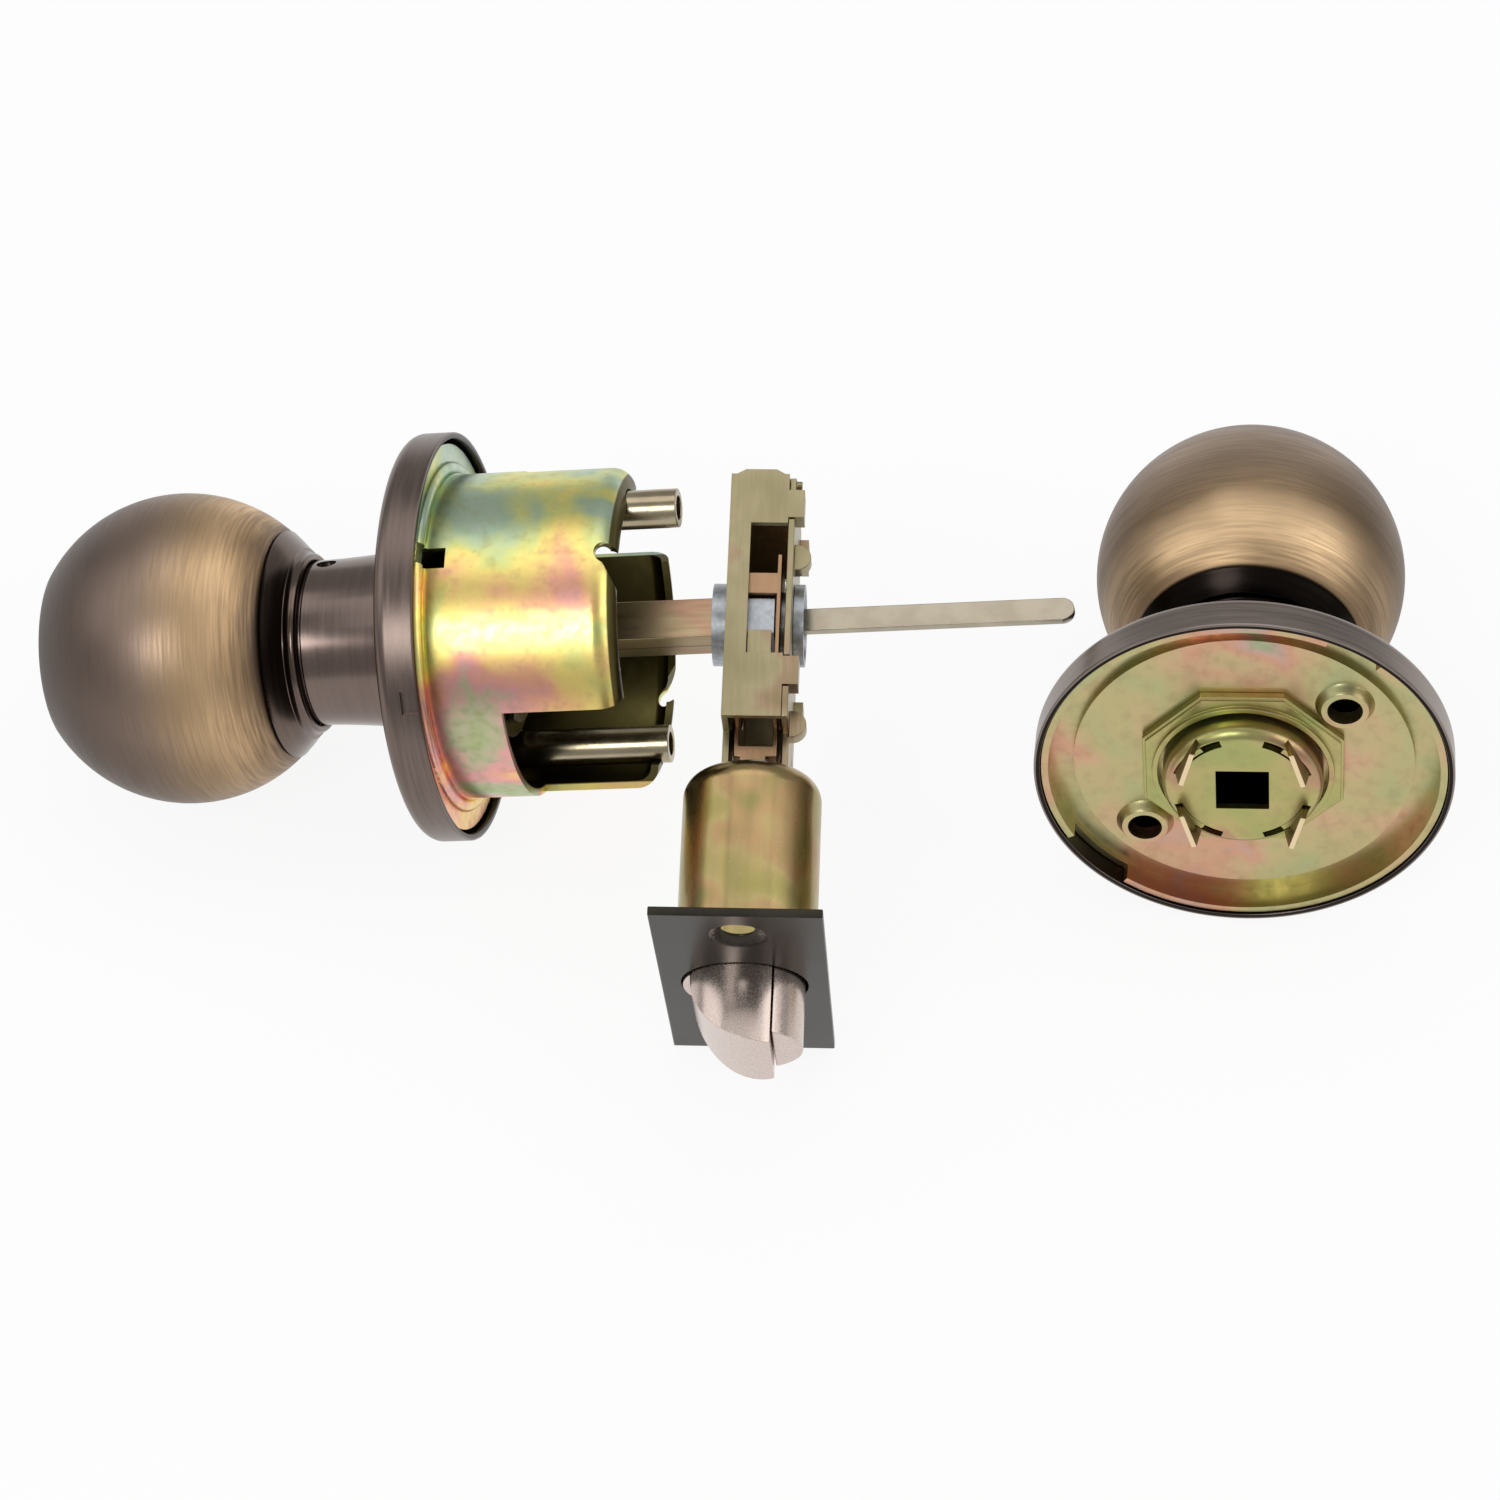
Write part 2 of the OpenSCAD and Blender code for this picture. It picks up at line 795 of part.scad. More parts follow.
// Square spindle, folded from sheet on a disc inside the sleeve
module spindle() {
    color("#b3a68c")
        outer_half()
            difference() {
                union() {
                    translate([0, 0, disc_top - disc_t])
                        cylinder(r = sleeve_in_r - 0.05, h = disc_t);
                    block([-spindle_w / 2, spindle_w / 2], [-spindle_w / 2, spindle_w / 2],
                        [disc_top - disc_t, spindle_end]);
                }
                block([-spindle_in / 2, spindle_in / 2], [-spindle_in / 2, spindle_in / 2],
                    [disc_top - disc_t - cut, spindle_end + cut]);
            }
}

// Key cylinder: the pins stand in a chimney on the upper side
module cylinder_body() {
    color("#b08d57")
        outer_knob()
            difference() {
                union() {
                    translate([0, 0, front_z])
                        cylinder(r = cylinder_r, h = cylinder_len);
                    block([-chimney_w / 2, chimney_w / 2], [-chimney_h, 0],
                        [chimney_start, cylinder_end]);
                }
                translate([0, 0, front_z - cut])
                    cylinder(r = plug_r + run_clear, h = cylinder_len + 2 * cut);
                pins_at()
                    cylinder(r = chamber_r, h = chimney_h + cut);
            }
}

// Each pin's own axis, pointing up the chimney
module pins_at() {
    for (i = [0:pin_count - 1])
        translate([0, 0, first_pin + i * pin_pitch])
            rotate([90, 0, 0])
                children();
}

module pin_cover() {
    color("#c09a5b")
        outer_knob()
            block([-chimney_w / 2 + 1, chimney_w / 2 - 1], [-chimney_h - cover_t, -chimney_h],
                [chimney_start, cylinder_end]);
}

module driver_pins() {
    color("#c8a964")
        outer_knob()
            pins_at()
                translate([0, 0, plug_r + shear_gap])
                    cylinder(r = pin_r, h = driver_len);
}

module pin_springs() {
    spring_start = plug_r + shear_gap + driver_len + spring_gap;
    color("#a3a5a8")
        outer_knob()
            pins_at()
                translate([0, 0, spring_start])
                    cylinder(r = pin_r - 0.1, h = chimney_h - spring_start - spring_gap);
}

// Turning plug with its keyway, pin holes and a slot for the tail bar
module key_plug() {
    color("#c2a05f")
        outer_knob()
            difference() {
                translate([0, 0, plug_start])
                    cylinder(r = plug_r, h = plug_end - plug_start);
                block([-keyway_w / 2, keyway_w / 2], [-plug_r + 1.2, plug_r - 2.6],
                    [plug_start - cut, cylinder_end - 3]);
                pins_at()
                    cylinder(r = chamber_r, h = plug_r + cut);
                ring(plug_r + cut, plug_r - groove, clip_z, clip_z + clip_t);
                block([-bar_w / 2 - 0.05, bar_w / 2 + 0.05], [-bar_t / 2 - 0.05, bar_t / 2 + 0.05],
                    [cylinder_end - 1, plug_end + cut]);
            }
}

module key_pins() {
    color("#d0b070")
        outer_knob()
            pins_at()
                translate([0, 0, pin_low])
                    cylinder(r = pin_r, h = plug_r - shear_gap - pin_low);
}

module plug_clip() {
    color("#6f7174")
        outer_knob()
            difference() {
                ring(plug_r + 1.4, plug_r - groove + 0.05, clip_z + 0.05, clip_z + clip_t - 0.05);
                block([-3, 3], [0, 2 * plug_r], [clip_z - cut, clip_z + clip_t + cut]);
            }
}

// Tail bar from the plug through the spindle, rounded at its tip
module tail_bar() {
    color("#b9a795")
        outer_half() {
            block([-bar_w / 2, bar_w / 2], [-bar_t / 2, bar_t / 2],
                [bar_start - 1, bar_reach - bar_w / 2]);
            translate([0, bar_t / 2, bar_reach - bar_w / 2])
                rotate([90, 0, 0])
                    cylinder(r = bar_w / 2, h = bar_t);
        }
}

module outer_catch() {
    color("#7a7c7e")
        outer_knob()
            catch_strip();
}

// Latch case: one leg, two webs with windows, a back wall, and tabs over the cover
module latch_case() {
    color("#9a8d66")
        case_middle()
            difference() {
                union() {
                    block([-case_back, case_front], [-case_top, case_top],
                        [-case_side, -case_in_z]);
                    block([case_front - 1, arm_end], [-arm_half, arm_half],
                        [-case_side, -case_in_z]);
                    block([-case_back, -case_back + case_wall], [-case_top, case_top],
                        [-case_side, case_in_z - 0.05]);
                    both_sides() {
                        block([-case_back, case_front], [-case_top, -case_in_y],
                            [-case_side, case_in_z - 0.05]);
                        over_tab(rear_tab);
                        over_tab(front_tab);
                    }
                    rear_lip();
                    block([wing_mid + wing_half + slot_gap, window[1] + 0.7],
                        [-case_in_y - 0.1, -case_in_y + case_block_depth],
                        [window_left + 0.1, 2.1]);
                }
                translate([0, 0, -case_side - cut])
                    cylinder(r = journal_r, h = case_wall + 2 * cut);
                both_sides()
                    block(window, [-case_top - cut, -case_in_y], [window_left, case_side + cut]);
            }
}

module over_tab(span) {
    block(span, [-case_top, -case_in_y], [-case_side, case_side + tab_t]);
    block(span, [-case_top, -case_top + tab_reach], [case_side, case_side + tab_t]);
}

module rear_lip() {
    translate([0, -case_in_y, 0])
        rotate([90, 0, 0])
            linear_extrude(case_wall)
                polygon([[-case_back, -4.2], [-case_back - lip_reach, -2.8],
                    [-case_back - lip_reach, 2], [-case_back, 3.4]]);
}

// Cover: the plate that the tabs hold on, with two ears and a peg
module latch_cover() {
    color("#a3956a")
        case_middle()
            difference() {
                union() {
                    block([-case_back + 0.2, case_front], [-case_in_y + 0.05, case_in_y - 0.05],
                        [case_in_z, case_side]);
                    both_sides() {
                        block([rear_tab[1] + 0.2, front_tab[0] - 0.2],
                            [-case_top + 0.1, -case_in_y + cut], [case_in_z, case_side]);
                        block([front_tab[1] + 0.2, case_front],
                            [-case_top + 0.1, -case_in_y + cut], [case_in_z, case_side]);
                    }
                    block([case_front - 1, arm_end], [-arm_half, arm_half], [case_in_z, case_side]);
                    ear(ears[0], -case_in_y + 3);
                    ear(ears[1], -arm_half + 1.4);
                    translate([-case_back + 1.1, -case_in_y + 1, case_in_z])
                        cylinder(r = 0.7, h = case_wall + 0.9);
                }
                translate([0, 0, case_in_z - cut])
                    cylinder(r = journal_r, h = case_wall + 2 * cut);
            }
}

module ear(x, y) {
    intersection() {
        translate([x, y + ear_t / 2, case_side + 0.4])
            rotate([90, 0, 0])
                cylinder(r = ear_r, h = ear_t);
        block([x - 2 * ear_r, x + 2 * ear_r], [y - ear_t, y + ear_t],
            [case_in_z, case_side + 2 * ear_r]);
    }
}

// Latch tube: a round shoulder at the back, with slots for the arms and straps
module latch_tube() {
    color("#b7a660")
        latch()
            difference() {
                rotate([0, 90, 0])
                    rotate_extrude()
                        tube_outline();
                for (side = [-1, 1])
                    block([tube_back - cut, arm_end + 2], [-arm_half - 0.3, arm_half + 0.3],
                        [case_shift + side * (case_side + case_in_z) / 2 - case_wall / 2 - 0.2,
                            case_shift + side * (case_side + case_in_z) / 2 + case_wall / 2 + 0.2]);
                both_sides()
                    block([tube_back - cut, tube_back + 2 * tube_wall],
                        [strap_in - 0.3, strap_in + strap_t + 0.3],
                        [-strap_half - 0.3, strap_half + 0.3]);
                translate([tube_back - cut, 0, 0])
                    rotate([0, 90, 0])
                        cylinder(r = guide_r, h = tube_wall + 2 * cut);
            }
}

module tube_outline() {
    difference() {
        tube_solid(0);
        tube_solid(tube_wall);
    }
}

module tube_solid(inset) {
    edge = tube_shoulder - inset;
    stop = tube_front + (inset > 0 ? cut : 0);
    translate([0, tube_back + inset + edge])
        square([tube_r - inset, stop - tube_back - inset - edge]);
    translate([0, tube_back + inset])
        square([tube_r - inset - edge, stop - tube_back - inset]);
    intersection() {
        translate([tube_r - inset - edge, tube_back + inset + edge])
            circle(r = edge);
        translate([0, tube_back + inset])
            square([tube_r, tube_front]);
    }
}

// Faceplate with a round opening for the bolts and two countersunk screw holes
module faceplate() {
    land = 0.4;
    color("#6b5d56")
        latch()
            difference() {
                block([tube_front, backset], [-faceplate_h / 2, faceplate_h / 2],
                    [-faceplate_w / 2, faceplate_w / 2]);
                translate([tube_front - cut, 0, 0])
                    rotate([0, 90, 0])
                        cylinder(r = opening_r, h = faceplate_t + 2 * cut);
                both_sides()
                    translate([tube_front, screw_spacing / 2, 0])
                        rotate([0, 90, 0]) {
                            translate([0, 0, -cut])
                                cylinder(r = screw_hole_r, h = faceplate_t + 2 * cut);
                            translate([0, 0, land])
                                cylinder(r1 = screw_hole_r, r2 = screw_sink_r,
                                    h = faceplate_t - land);
                        }
            }
}

// Rod riveted in the back of the tube that guides the bolt's spring
module spring_guide() {
    color("#9b9da0")
        latch()
            rotate([0, 90, 0]) {
                translate([0, 0, tube_back - 0.7])
                    cylinder(r = guide_r + 0.9, h = 0.7);
                translate([0, 0, tube_back - 0.7])
                    cylinder(r = guide_r, h = guide_end - tube_back + 0.7);
            }
}

// Hub: two flanges, two journals in the case, and wings that push the retractor
module latch_hub() {
    hole = spindle_w + 2 * hub_clear;
    color("#b9bcc0")
        latch()
            difference() {
                union() {
                    translate([0, 0, -hub_half])
                        cylinder(r = hub_r, h = hub_len);
                    for (side = [0, 1])
                        mirror([0, 0, side])
                            translate([0, 0, flange_z[side]])
                                cylinder(r = hub_flange_r, h = hub_half - flange_z[side]);
                    block([wing_mid - wing_half, wing_mid + wing_half], [-wing_reach, wing_reach],
                        [case_shift - wing_z, case_shift + wing_z]);
                }
                block([-hole / 2, hole / 2], [-hole / 2, hole / 2],
                    [-hub_half - cut, hub_half + cut]);
                for (side = [0, 1])
                    mirror([0, 0, side])
                        translate([0, 0, hub_half - mouth_depth])
                            cylinder(r = mouth_r, h = mouth_depth + cut);
            }
}

// Retractor: two plates slotted for the hub, two blocks behind its wings, and straps to the bolt
module retractor() {
    color("#a98f6c")
        case_middle() {
            for (side = [0, 1])
                mirror([0, 0, side])
                    yoke_plate();
            both_sides()
                block([wing_back - block_len, wing_back], [-yoke_h, -yoke_h + block_depth],
                    [-yoke_z, yoke_z]);
            block([yoke_front, yoke_end], [-strap_in - strap_t, strap_in + strap_t],
                [-yoke_z, yoke_z]);
            both_sides()
                block([yoke_front, strap_end], [strap_in, strap_in + strap_t],
                    [-strap_half - case_shift, strap_half - case_shift]);
        }
}

module yoke_plate() {
    slot_r = hub_r + slot_gap;
    difference() {
        union() {
            block([yoke_back, case_front - 1], [-yoke_h, yoke_h], [yoke_z - yoke_t, yoke_z]);
            block([case_front - 2, yoke_end], [-strap_in - strap_t, strap_in + strap_t],
                [yoke_z - yoke_t, yoke_z]);
        }
        block([0, throw], [-slot_r, slot_r], [0, case_side]);
        for (x = [0, throw])
            translate([x, 0, 0])
                cylinder(r = slot_r, h = case_side);
    }
}

// Latch bolt: round, flat on the guard's side, and curved where it meets the strike
module latch_bolt() {
    color("#b7a7a3")
        latch()
            difference() {
                intersection() {
                    translate([bolt_back, 0, 0])
                        rotate([0, 90, 0])
                            cylinder(r = bolt_r, h = backset + bolt_out - bolt_back);
                    block([bolt_back - cut, backset + bolt_out + cut], [-bolt_r, bolt_r],
                        [-bolt_r, bolt_flat]);
                    union() {
                        block([bolt_back - cut, bevel_x], [-bolt_r - cut, bolt_r + cut],
                            [-bolt_r - cut, bolt_flat + cut]);
                        translate([bevel_x, bolt_r + cut, bevel_z])
                            rotate([90, 0, 0])
                                cylinder(r = bevel_r, h = 2 * bolt_r + 2 * cut);
                    }
                }
                translate([bolt_back - cut, 0, 0])
                    rotate([0, 90, 0])
                        cylinder(r = bolt_bore_r, h = bolt_bore_end - bolt_back + cut);
                both_sides()
                    block([bolt_back - cut, strap_end + 0.1],
                        [strap_in - 0.1, strap_in + strap_t + 0.1],
                        [-strap_half - 0.1, strap_half + 0.1]);
            }
}

// Bolt spring, standing in the bolt's bore round the guide rod
module bolt_spring() {
    color("#9fa1a4")
        latch()
            rotate([0, 90, 0])
                ring(bolt_bore_r - 0.15, bolt_bore_r - 0.15 - spring_wall, guide_end,
                    bolt_bore_end - 0.1);
}

// Guard bolt: the segment beside the latch bolt that stops it being pushed back
module guard_bolt() {
    mid = (guard_flat + guard_r) / 2;
    color("#a89a96")
        latch()
            difference() {
                intersection() {
                    translate([guard_back, 0, 0])
                        rotate([0, 90, 0])
                            cylinder(r = guard_r, h = backset + guard_out - guard_back);
                    block([guard_back - cut, backset + guard_out + cut], [-guard_r, guard_r],
                        [guard_flat, guard_r + cut]);
                }
                translate([guard_back - cut, 0, mid])
                    rotate([0, 90, 0])
                        cylinder(r = guard_bore_r, h = guard_spring_len + cut);
            }
}

module guard_spring() {
    mid = (guard_flat + guard_r) / 2;
    color("#9fa1a4")
        latch()
            translate([guard_back, 0, mid])
                rotate([0, 90, 0])
                    cylinder(r = guard_spring_r, h = guard_spring_len - 0.1);
}

// Inner rose
module inner_rose() {
    color("#6a605c")
        inner_half()
            dish();
}

// Liner of the inner rose: raised middle, trough and wall, with collars round its screw holes
module inner_liner() {
    color("#b9a876")
        inner_half()
            difference() {
                union() {
                    rotate_extrude()
                        intersection() {
                            liner_outline();
                            dish_outline(rose_wall + 0.15);
                        }
                    posts_mirrored()
                        translate([0, 0, liner_top - 0.1])
                            cylinder(r1 = liner_hole_r + 1.9, r2 = liner_hole_r + 0.9,
                                h = collar_h + 0.1);
                }
                posts_mirrored()
                    translate([0, 0, trough_top - liner_wall - cut])
                        cylinder(r = liner_hole_r, h = liner_drop + trough_drop + liner_wall);
                rim_notch(-33, small_notch);
                rim_notch(130, large_notch);
            }
}

module liner_outline() {
    translate([sleeve_hole_r, liner_top - liner_wall])
        square([liner_step_r - sleeve_hole_r, liner_wall]);
    translate([liner_step_r - liner_wall, trough_top - liner_wall])
        square([liner_wall, liner_top - trough_top + liner_wall]);
    translate([liner_step_r - liner_wall, trough_top - liner_wall])
        square([liner_r - liner_step_r + liner_wall, liner_wall]);
    translate([liner_r - liner_wall, trough_top - liner_wall])
        square([liner_wall, -trough_top + liner_wall - liner_lip]);
}

// Return spring of the inner half, lying between the rose and the liner
module inner_return_spring() {
    color("#8d8f92")
        inner_half()
            difference() {
                ring(inner_spring_r + spring_t / 2, inner_spring_r - spring_t / 2,
                    rose_wall - rose_depth + 0.2, liner_top - liner_wall - 0.2);
                block([0, rose_r], [-1.5, 1.5], [-rose_depth, 0]);
            }
}

module rim_notch(heading, half) {
    near = liner_step_r + 1.5;
    far = 2 * rose_r;
    translate([0, 0, trough_top + 0.8])
        rotate([0, 0, heading])
            linear_extrude(rose_depth)
                polygon([near * [cos(half), -sin(half)], far * [cos(half), -sin(half)],
                    far * [cos(half), sin(half)], near * [cos(half), sin(half)]]);
}

module posts_mirrored() {
    for (turn = [0, 180])
        rotate([0, 0, turn - post_angle])
            translate([post_circle / 2, 0, 0])
                children();
}

// Eight-sided plate round the sleeve, flats facing the screw holes, with a raised lip
module inner_lock_plate() {
    corner = lock_plate_w / 2 / cos(22.5);
    color("#b3a86e")
        inner_half()
            difference() {
                union() {
                    rotate([0, 0, 22.5 - post_angle + lock_turn]) {
                        translate([0, 0, liner_top])
                            cylinder(r = corner, h = lock_plate_t - 0.4, $fn = 8);
                        translate([0, 0, liner_top])
                            cylinder(r = corner - 0.5, h = lock_plate_t, $fn = 8);
                    }
                    translate([0, 0, liner_top])
                        cylinder(r = lock_hole_r + lip_w, h = lock_plate_t + lip_h);
                }
                translate([0, 0, liner_top - cut])
                    cylinder(r = lock_hole_r, h = lock_plate_t + lip_h + 2 * cut);
            }
}

// Retainer: a capped ring with a square hole and four slots for the sleeve's claws
module inner_retainer() {
    color("#b0ab72")
        inner_half()
            difference() {
                rotate_extrude()
                    retainer_outline();
                block([-socket_w / 2, socket_w / 2], [-socket_w / 2, socket_w / 2],
                    [0, retainer_out + cut]);
                for (turn = [45:90:315])
                    arc_bar(turn, claw_slot_half, claw_r - 0.2, claw_r + claw_t + 0.2,
                        0, retainer_out + cut);
            }
}

module retainer_outline() {
    skirt = step_z + 1.4;
    difference() {
        union() {
            translate([0, skirt])
                square([retainer_r, retainer_out - retainer_fillet - skirt]);
            translate([0, skirt])
                square([retainer_r - retainer_fillet, retainer_out - skirt]);
            translate([retainer_r - retainer_fillet, retainer_out - retainer_fillet])
                circle(r = retainer_fillet);
        }
        translate([0, skirt - cut])
            square([retainer_r - retainer_t, retainer_out - retainer_t - skirt + cut]);
    }
}

// Part of a ring about z, from one radius to another, centred on a heading
module arc_bar(heading, half, inner, outer, start, stop) {
    intersection() {
        ring(outer, inner, start, stop);
        translate([0, 0, start - cut])
            rotate([0, 0, heading])
                linear_extrude(stop - start + 2 * cut)
                    polygon([[0, 0], 2 * outer * [cos(half), -sin(half)], [2 * outer, 0],
                        2 * outer * [cos(half), sin(half)]]);
    }
}

// Inner sleeve: it steps in behind the retainer and ends in four twisted claws
module inner_sleeve() {
    tube_in = claw_r - 0.2;
    tube_stop = retainer_out - retainer_t - 0.1;
    color("#ab9c74")
        inner_half() {
            difference() {
                ring(sleeve_r, sleeve_in_r, sleeve_start - knob_reach, step_z);
                translate([0, 0, -knob_reach])
                    catch_bore();
            }
            ring(sleeve_r, tube_in, step_z, step_z + 1);
            ring(claw_r + claw_t + 0.2, tube_in, step_z, tube_stop);
            for (turn = [45:90:315])
                rotate([0, 0, turn])
                    claw(turn % 180 == 45 ? 1 : -1);
        }
}

// Claw: it rises through its slot and is twisted above it, one way or the other
module claw(way) {
    arc_bar(way * claw_turn, claw_half, claw_r, claw_r + claw_t, step_z, retainer_out + 0.5);
    rotate([0, 0, way * claw_turn])
        translate([claw_r + claw_t / 2 + claw_lean, 0, 0])
            rotate([0, 0, way * claw_twist])
                block([-claw_t / 2, claw_t / 2], [-claw_len / 2, claw_len / 2],
                    [retainer_out + 0.2, retainer_out + claw_out]);
}

module inner_neck() {
    color("#2f2826")
        inner_knob()
            neck();
}

module inner_back_cap() {
    color("#3a2f2a")
        inner_knob()
            back_cap();
}

module inner_knob_shell() {
    color("#9c7f58")
        inner_knob()
            ball(button_r + run_clear);
}

module inner_catch() {
    color("#7a7c7e")
        inner_knob()
            catch_strip();
}

// Turn button in the front of the inner knob, with a grip across it
module inner_button() {
    color("#8f744f")
        inner_knob() {
            translate([0, 0, front_z - 0.6])
                cylinder(r = button_r, h = knob_wall + 0.9);
            translate([0, 0, front_z + knob_wall + 0.3])
                cylinder(r = button_r + 1.5, h = button_plate_t);
            block([-button_r + 0.4, button_r - 0.4], [-button_blade / 2, button_blade / 2],
                [front_z - button_out, front_z]);
        }
}

// Stem from the button to the socket that takes the tail bar
module inner_button_stem() {
    color("#a59a80")
        inner_knob()
            difference() {
                translate([0, 0, front_z + knob_wall + 0.3 + button_plate_t])
                    cylinder(r = stem_r, h = stem_end - front_z - knob_wall - 0.3 - button_plate_t);
                block([-bar_w / 2 - 0.2, bar_w / 2 + 0.2], [-bar_t / 2 - 0.2, bar_t / 2 + 0.2],
                    [stem_end - stem_socket, stem_end + cut]);
            }
}

outer_rose();
outer_housing();
outer_base_plate();
outer_spring_cage();
outer_return_spring();
mounting_posts();
outer_knob_shell();
outer_back_cap();
outer_neck();
outer_sleeve();
sleeve_ring();
spindle();
cylinder_body();
pin_cover();
driver_pins();
pin_springs();
outer_catch();
key_plug();
key_pins();
plug_clip();
tail_bar();
latch_case();
latch_cover();
latch_tube();
faceplate();
spring_guide();
latch_hub();
retractor();
latch_bolt();
bolt_spring();
guard_bolt();
guard_spring();
inner_rose();
inner_liner();
inner_return_spring();
inner_lock_plate();
inner_retainer();
inner_sleeve();
inner_neck();
inner_back_cap();
inner_knob_shell();
inner_catch();
inner_button();
inner_button_stem();
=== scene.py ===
"""Keyed door knob taken apart on a bench: both halves, the latch, and the light they lie in."""
import json
import math

import bpy
from mathutils import Matrix, Vector

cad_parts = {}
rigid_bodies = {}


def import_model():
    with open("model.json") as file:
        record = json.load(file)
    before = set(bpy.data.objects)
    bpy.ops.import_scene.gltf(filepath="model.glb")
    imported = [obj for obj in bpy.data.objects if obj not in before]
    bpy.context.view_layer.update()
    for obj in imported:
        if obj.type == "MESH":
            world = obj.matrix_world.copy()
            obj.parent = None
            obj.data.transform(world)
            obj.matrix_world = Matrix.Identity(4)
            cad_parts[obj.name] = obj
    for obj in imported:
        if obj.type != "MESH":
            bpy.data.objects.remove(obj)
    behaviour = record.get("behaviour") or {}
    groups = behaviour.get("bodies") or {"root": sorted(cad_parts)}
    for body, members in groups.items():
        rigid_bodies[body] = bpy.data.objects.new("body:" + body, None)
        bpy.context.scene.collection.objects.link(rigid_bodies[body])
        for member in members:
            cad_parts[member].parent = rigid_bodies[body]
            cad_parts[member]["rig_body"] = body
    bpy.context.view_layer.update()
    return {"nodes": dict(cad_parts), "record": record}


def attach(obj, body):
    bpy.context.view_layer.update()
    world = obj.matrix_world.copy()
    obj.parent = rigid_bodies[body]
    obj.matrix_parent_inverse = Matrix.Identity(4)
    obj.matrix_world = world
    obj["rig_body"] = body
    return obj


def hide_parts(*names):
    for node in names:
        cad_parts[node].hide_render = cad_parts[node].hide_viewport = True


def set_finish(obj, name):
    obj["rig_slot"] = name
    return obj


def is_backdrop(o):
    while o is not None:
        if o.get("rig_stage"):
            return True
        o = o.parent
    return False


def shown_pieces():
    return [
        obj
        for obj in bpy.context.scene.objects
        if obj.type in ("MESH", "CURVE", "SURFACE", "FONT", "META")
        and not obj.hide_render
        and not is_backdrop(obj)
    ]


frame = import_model()

bl_info = {
    "name": "Keyed door knob",
    "version": (1, 0, 0),
    "blender": (4, 2, 0),
    "location": "View3D > Sidebar > Knob",
    "description": "Finishes and lights a keyed door knob laid out in three parts",
    "category": "Object",
}

MM = 0.001
NODE_SLOTS = {row["node"]: row["material_slot"] for row in frame["record"]["subparts"]}
FLOOR_Z = -32.83 * MM

# Fineness of the meshes: the faces round a turned piece, the distance within which points are
# merged, the angles past which an edge is sharp or gets its round, and how close a point is set
# to each end of a long straight
TURNS = 128
MERGE = 0.002 * MM
SMOOTH_ANGLE = 35
EDGE_ANGLE = 40
GRIP = 0.14

# Where each part lies, in millimetres and degrees. Each half lies on its ball and its rose, and
# the latch hangs askew on the spindle's tip, with its case a little past the hub's middle
TILT = 9.8103
DIP = 11.4194
KNOB_REACH = 45.9
KNOB_D = 50
LATCH_AT = 47.4
SWAY = 7.4
SWAY_AT = 4.8
CASE_SHIFT = 0.4
INNER_RIGHT = 123.3
INNER_FORWARD = 18
INNER_HEADING = -92.6
INNER_ROLL = 187

# Holes and pressed marks: the keyway's and the button's openings, the hole in each neck through
# which its catch is pressed, and the three marks round the outer rose
KEY_OPENING = 8.1
BUTTON_OPENING = 5.4
CATCH_ANGLE = -136
CATCH_REACH = 24.6
CATCH_HOLE = 1.6
CATCH_HOLE_RANGE = (2, 20)
MARK_ANGLE = -46.8
MARK_DEPTH = 0.5
MARK_HALF = 1.8
MARK_RANGE = (-2.75, -0.25)

# Claws of the inner knob: blades that stand on the sleeve's stubs, leaning and twisted one way
# and the other in turn. The sleeve lies within SLEEVE_REACH of its axis
CLAW_HEADINGS = (45, 135, 225, 315)
CLAW_FOOT = 1.2
CLAW_RISE = 4.2
CLAW_LAP = 1.4
CLAW_REACH = 10.85
CLAW_HALF = 3.5
CLAW_HALF_SHEET = 0.4
CLAW_TURN = 6
CLAW_LEAN = 6
CLAW_TWIST = 18
SLEEVE_REACH = 13
LOCK_PLATE_TURN = 9


def turned(axis, degrees):
    return Matrix.Rotation(math.radians(degrees), 4, axis)


def moved(x, y, z):
    return Matrix.Translation(Vector((x, y, z)) * MM)


OUTER = turned("Y", 90 - TILT) @ turned("Z", DIP - 90)
OUTER_KNOB = OUTER @ moved(0, 0, -KNOB_REACH)
LATCH = (OUTER @ moved(0, 0, LATCH_AT - SWAY_AT) @ turned("X", -SWAY)
         @ moved(0, 0, SWAY_AT))
CASE = LATCH @ moved(0, 0, CASE_SHIFT)
INNER = (moved(INNER_RIGHT, -INNER_FORWARD, 0) @ turned("Z", INNER_HEADING)
         @ turned("Y", 90 - TILT) @ turned("Z", INNER_ROLL))
INNER_KNOB = INNER @ moved(0, 0, -KNOB_REACH)


# Settings that a user would change

def length(name, description, default):
    return bpy.props.FloatProperty(name=name, description=description, default=default * MM,
                                   min=0.0, max=0.2, unit="LENGTH", subtype="DISTANCE",
                                   precision=5)


def tone(name, description, *display):
    """Colour setting, given as a display colour in 0 to 255"""
    return bpy.props.FloatVectorProperty(name=name, description=description, size=3, min=0.0,
                                         max=1.0, subtype="COLOR_GAMMA",
                                         default=[v / 255 for v in display])


def shown(colour):
    """Display colour in 0 to 255 of a colour setting"""
    return [v * 255 for v in colour]


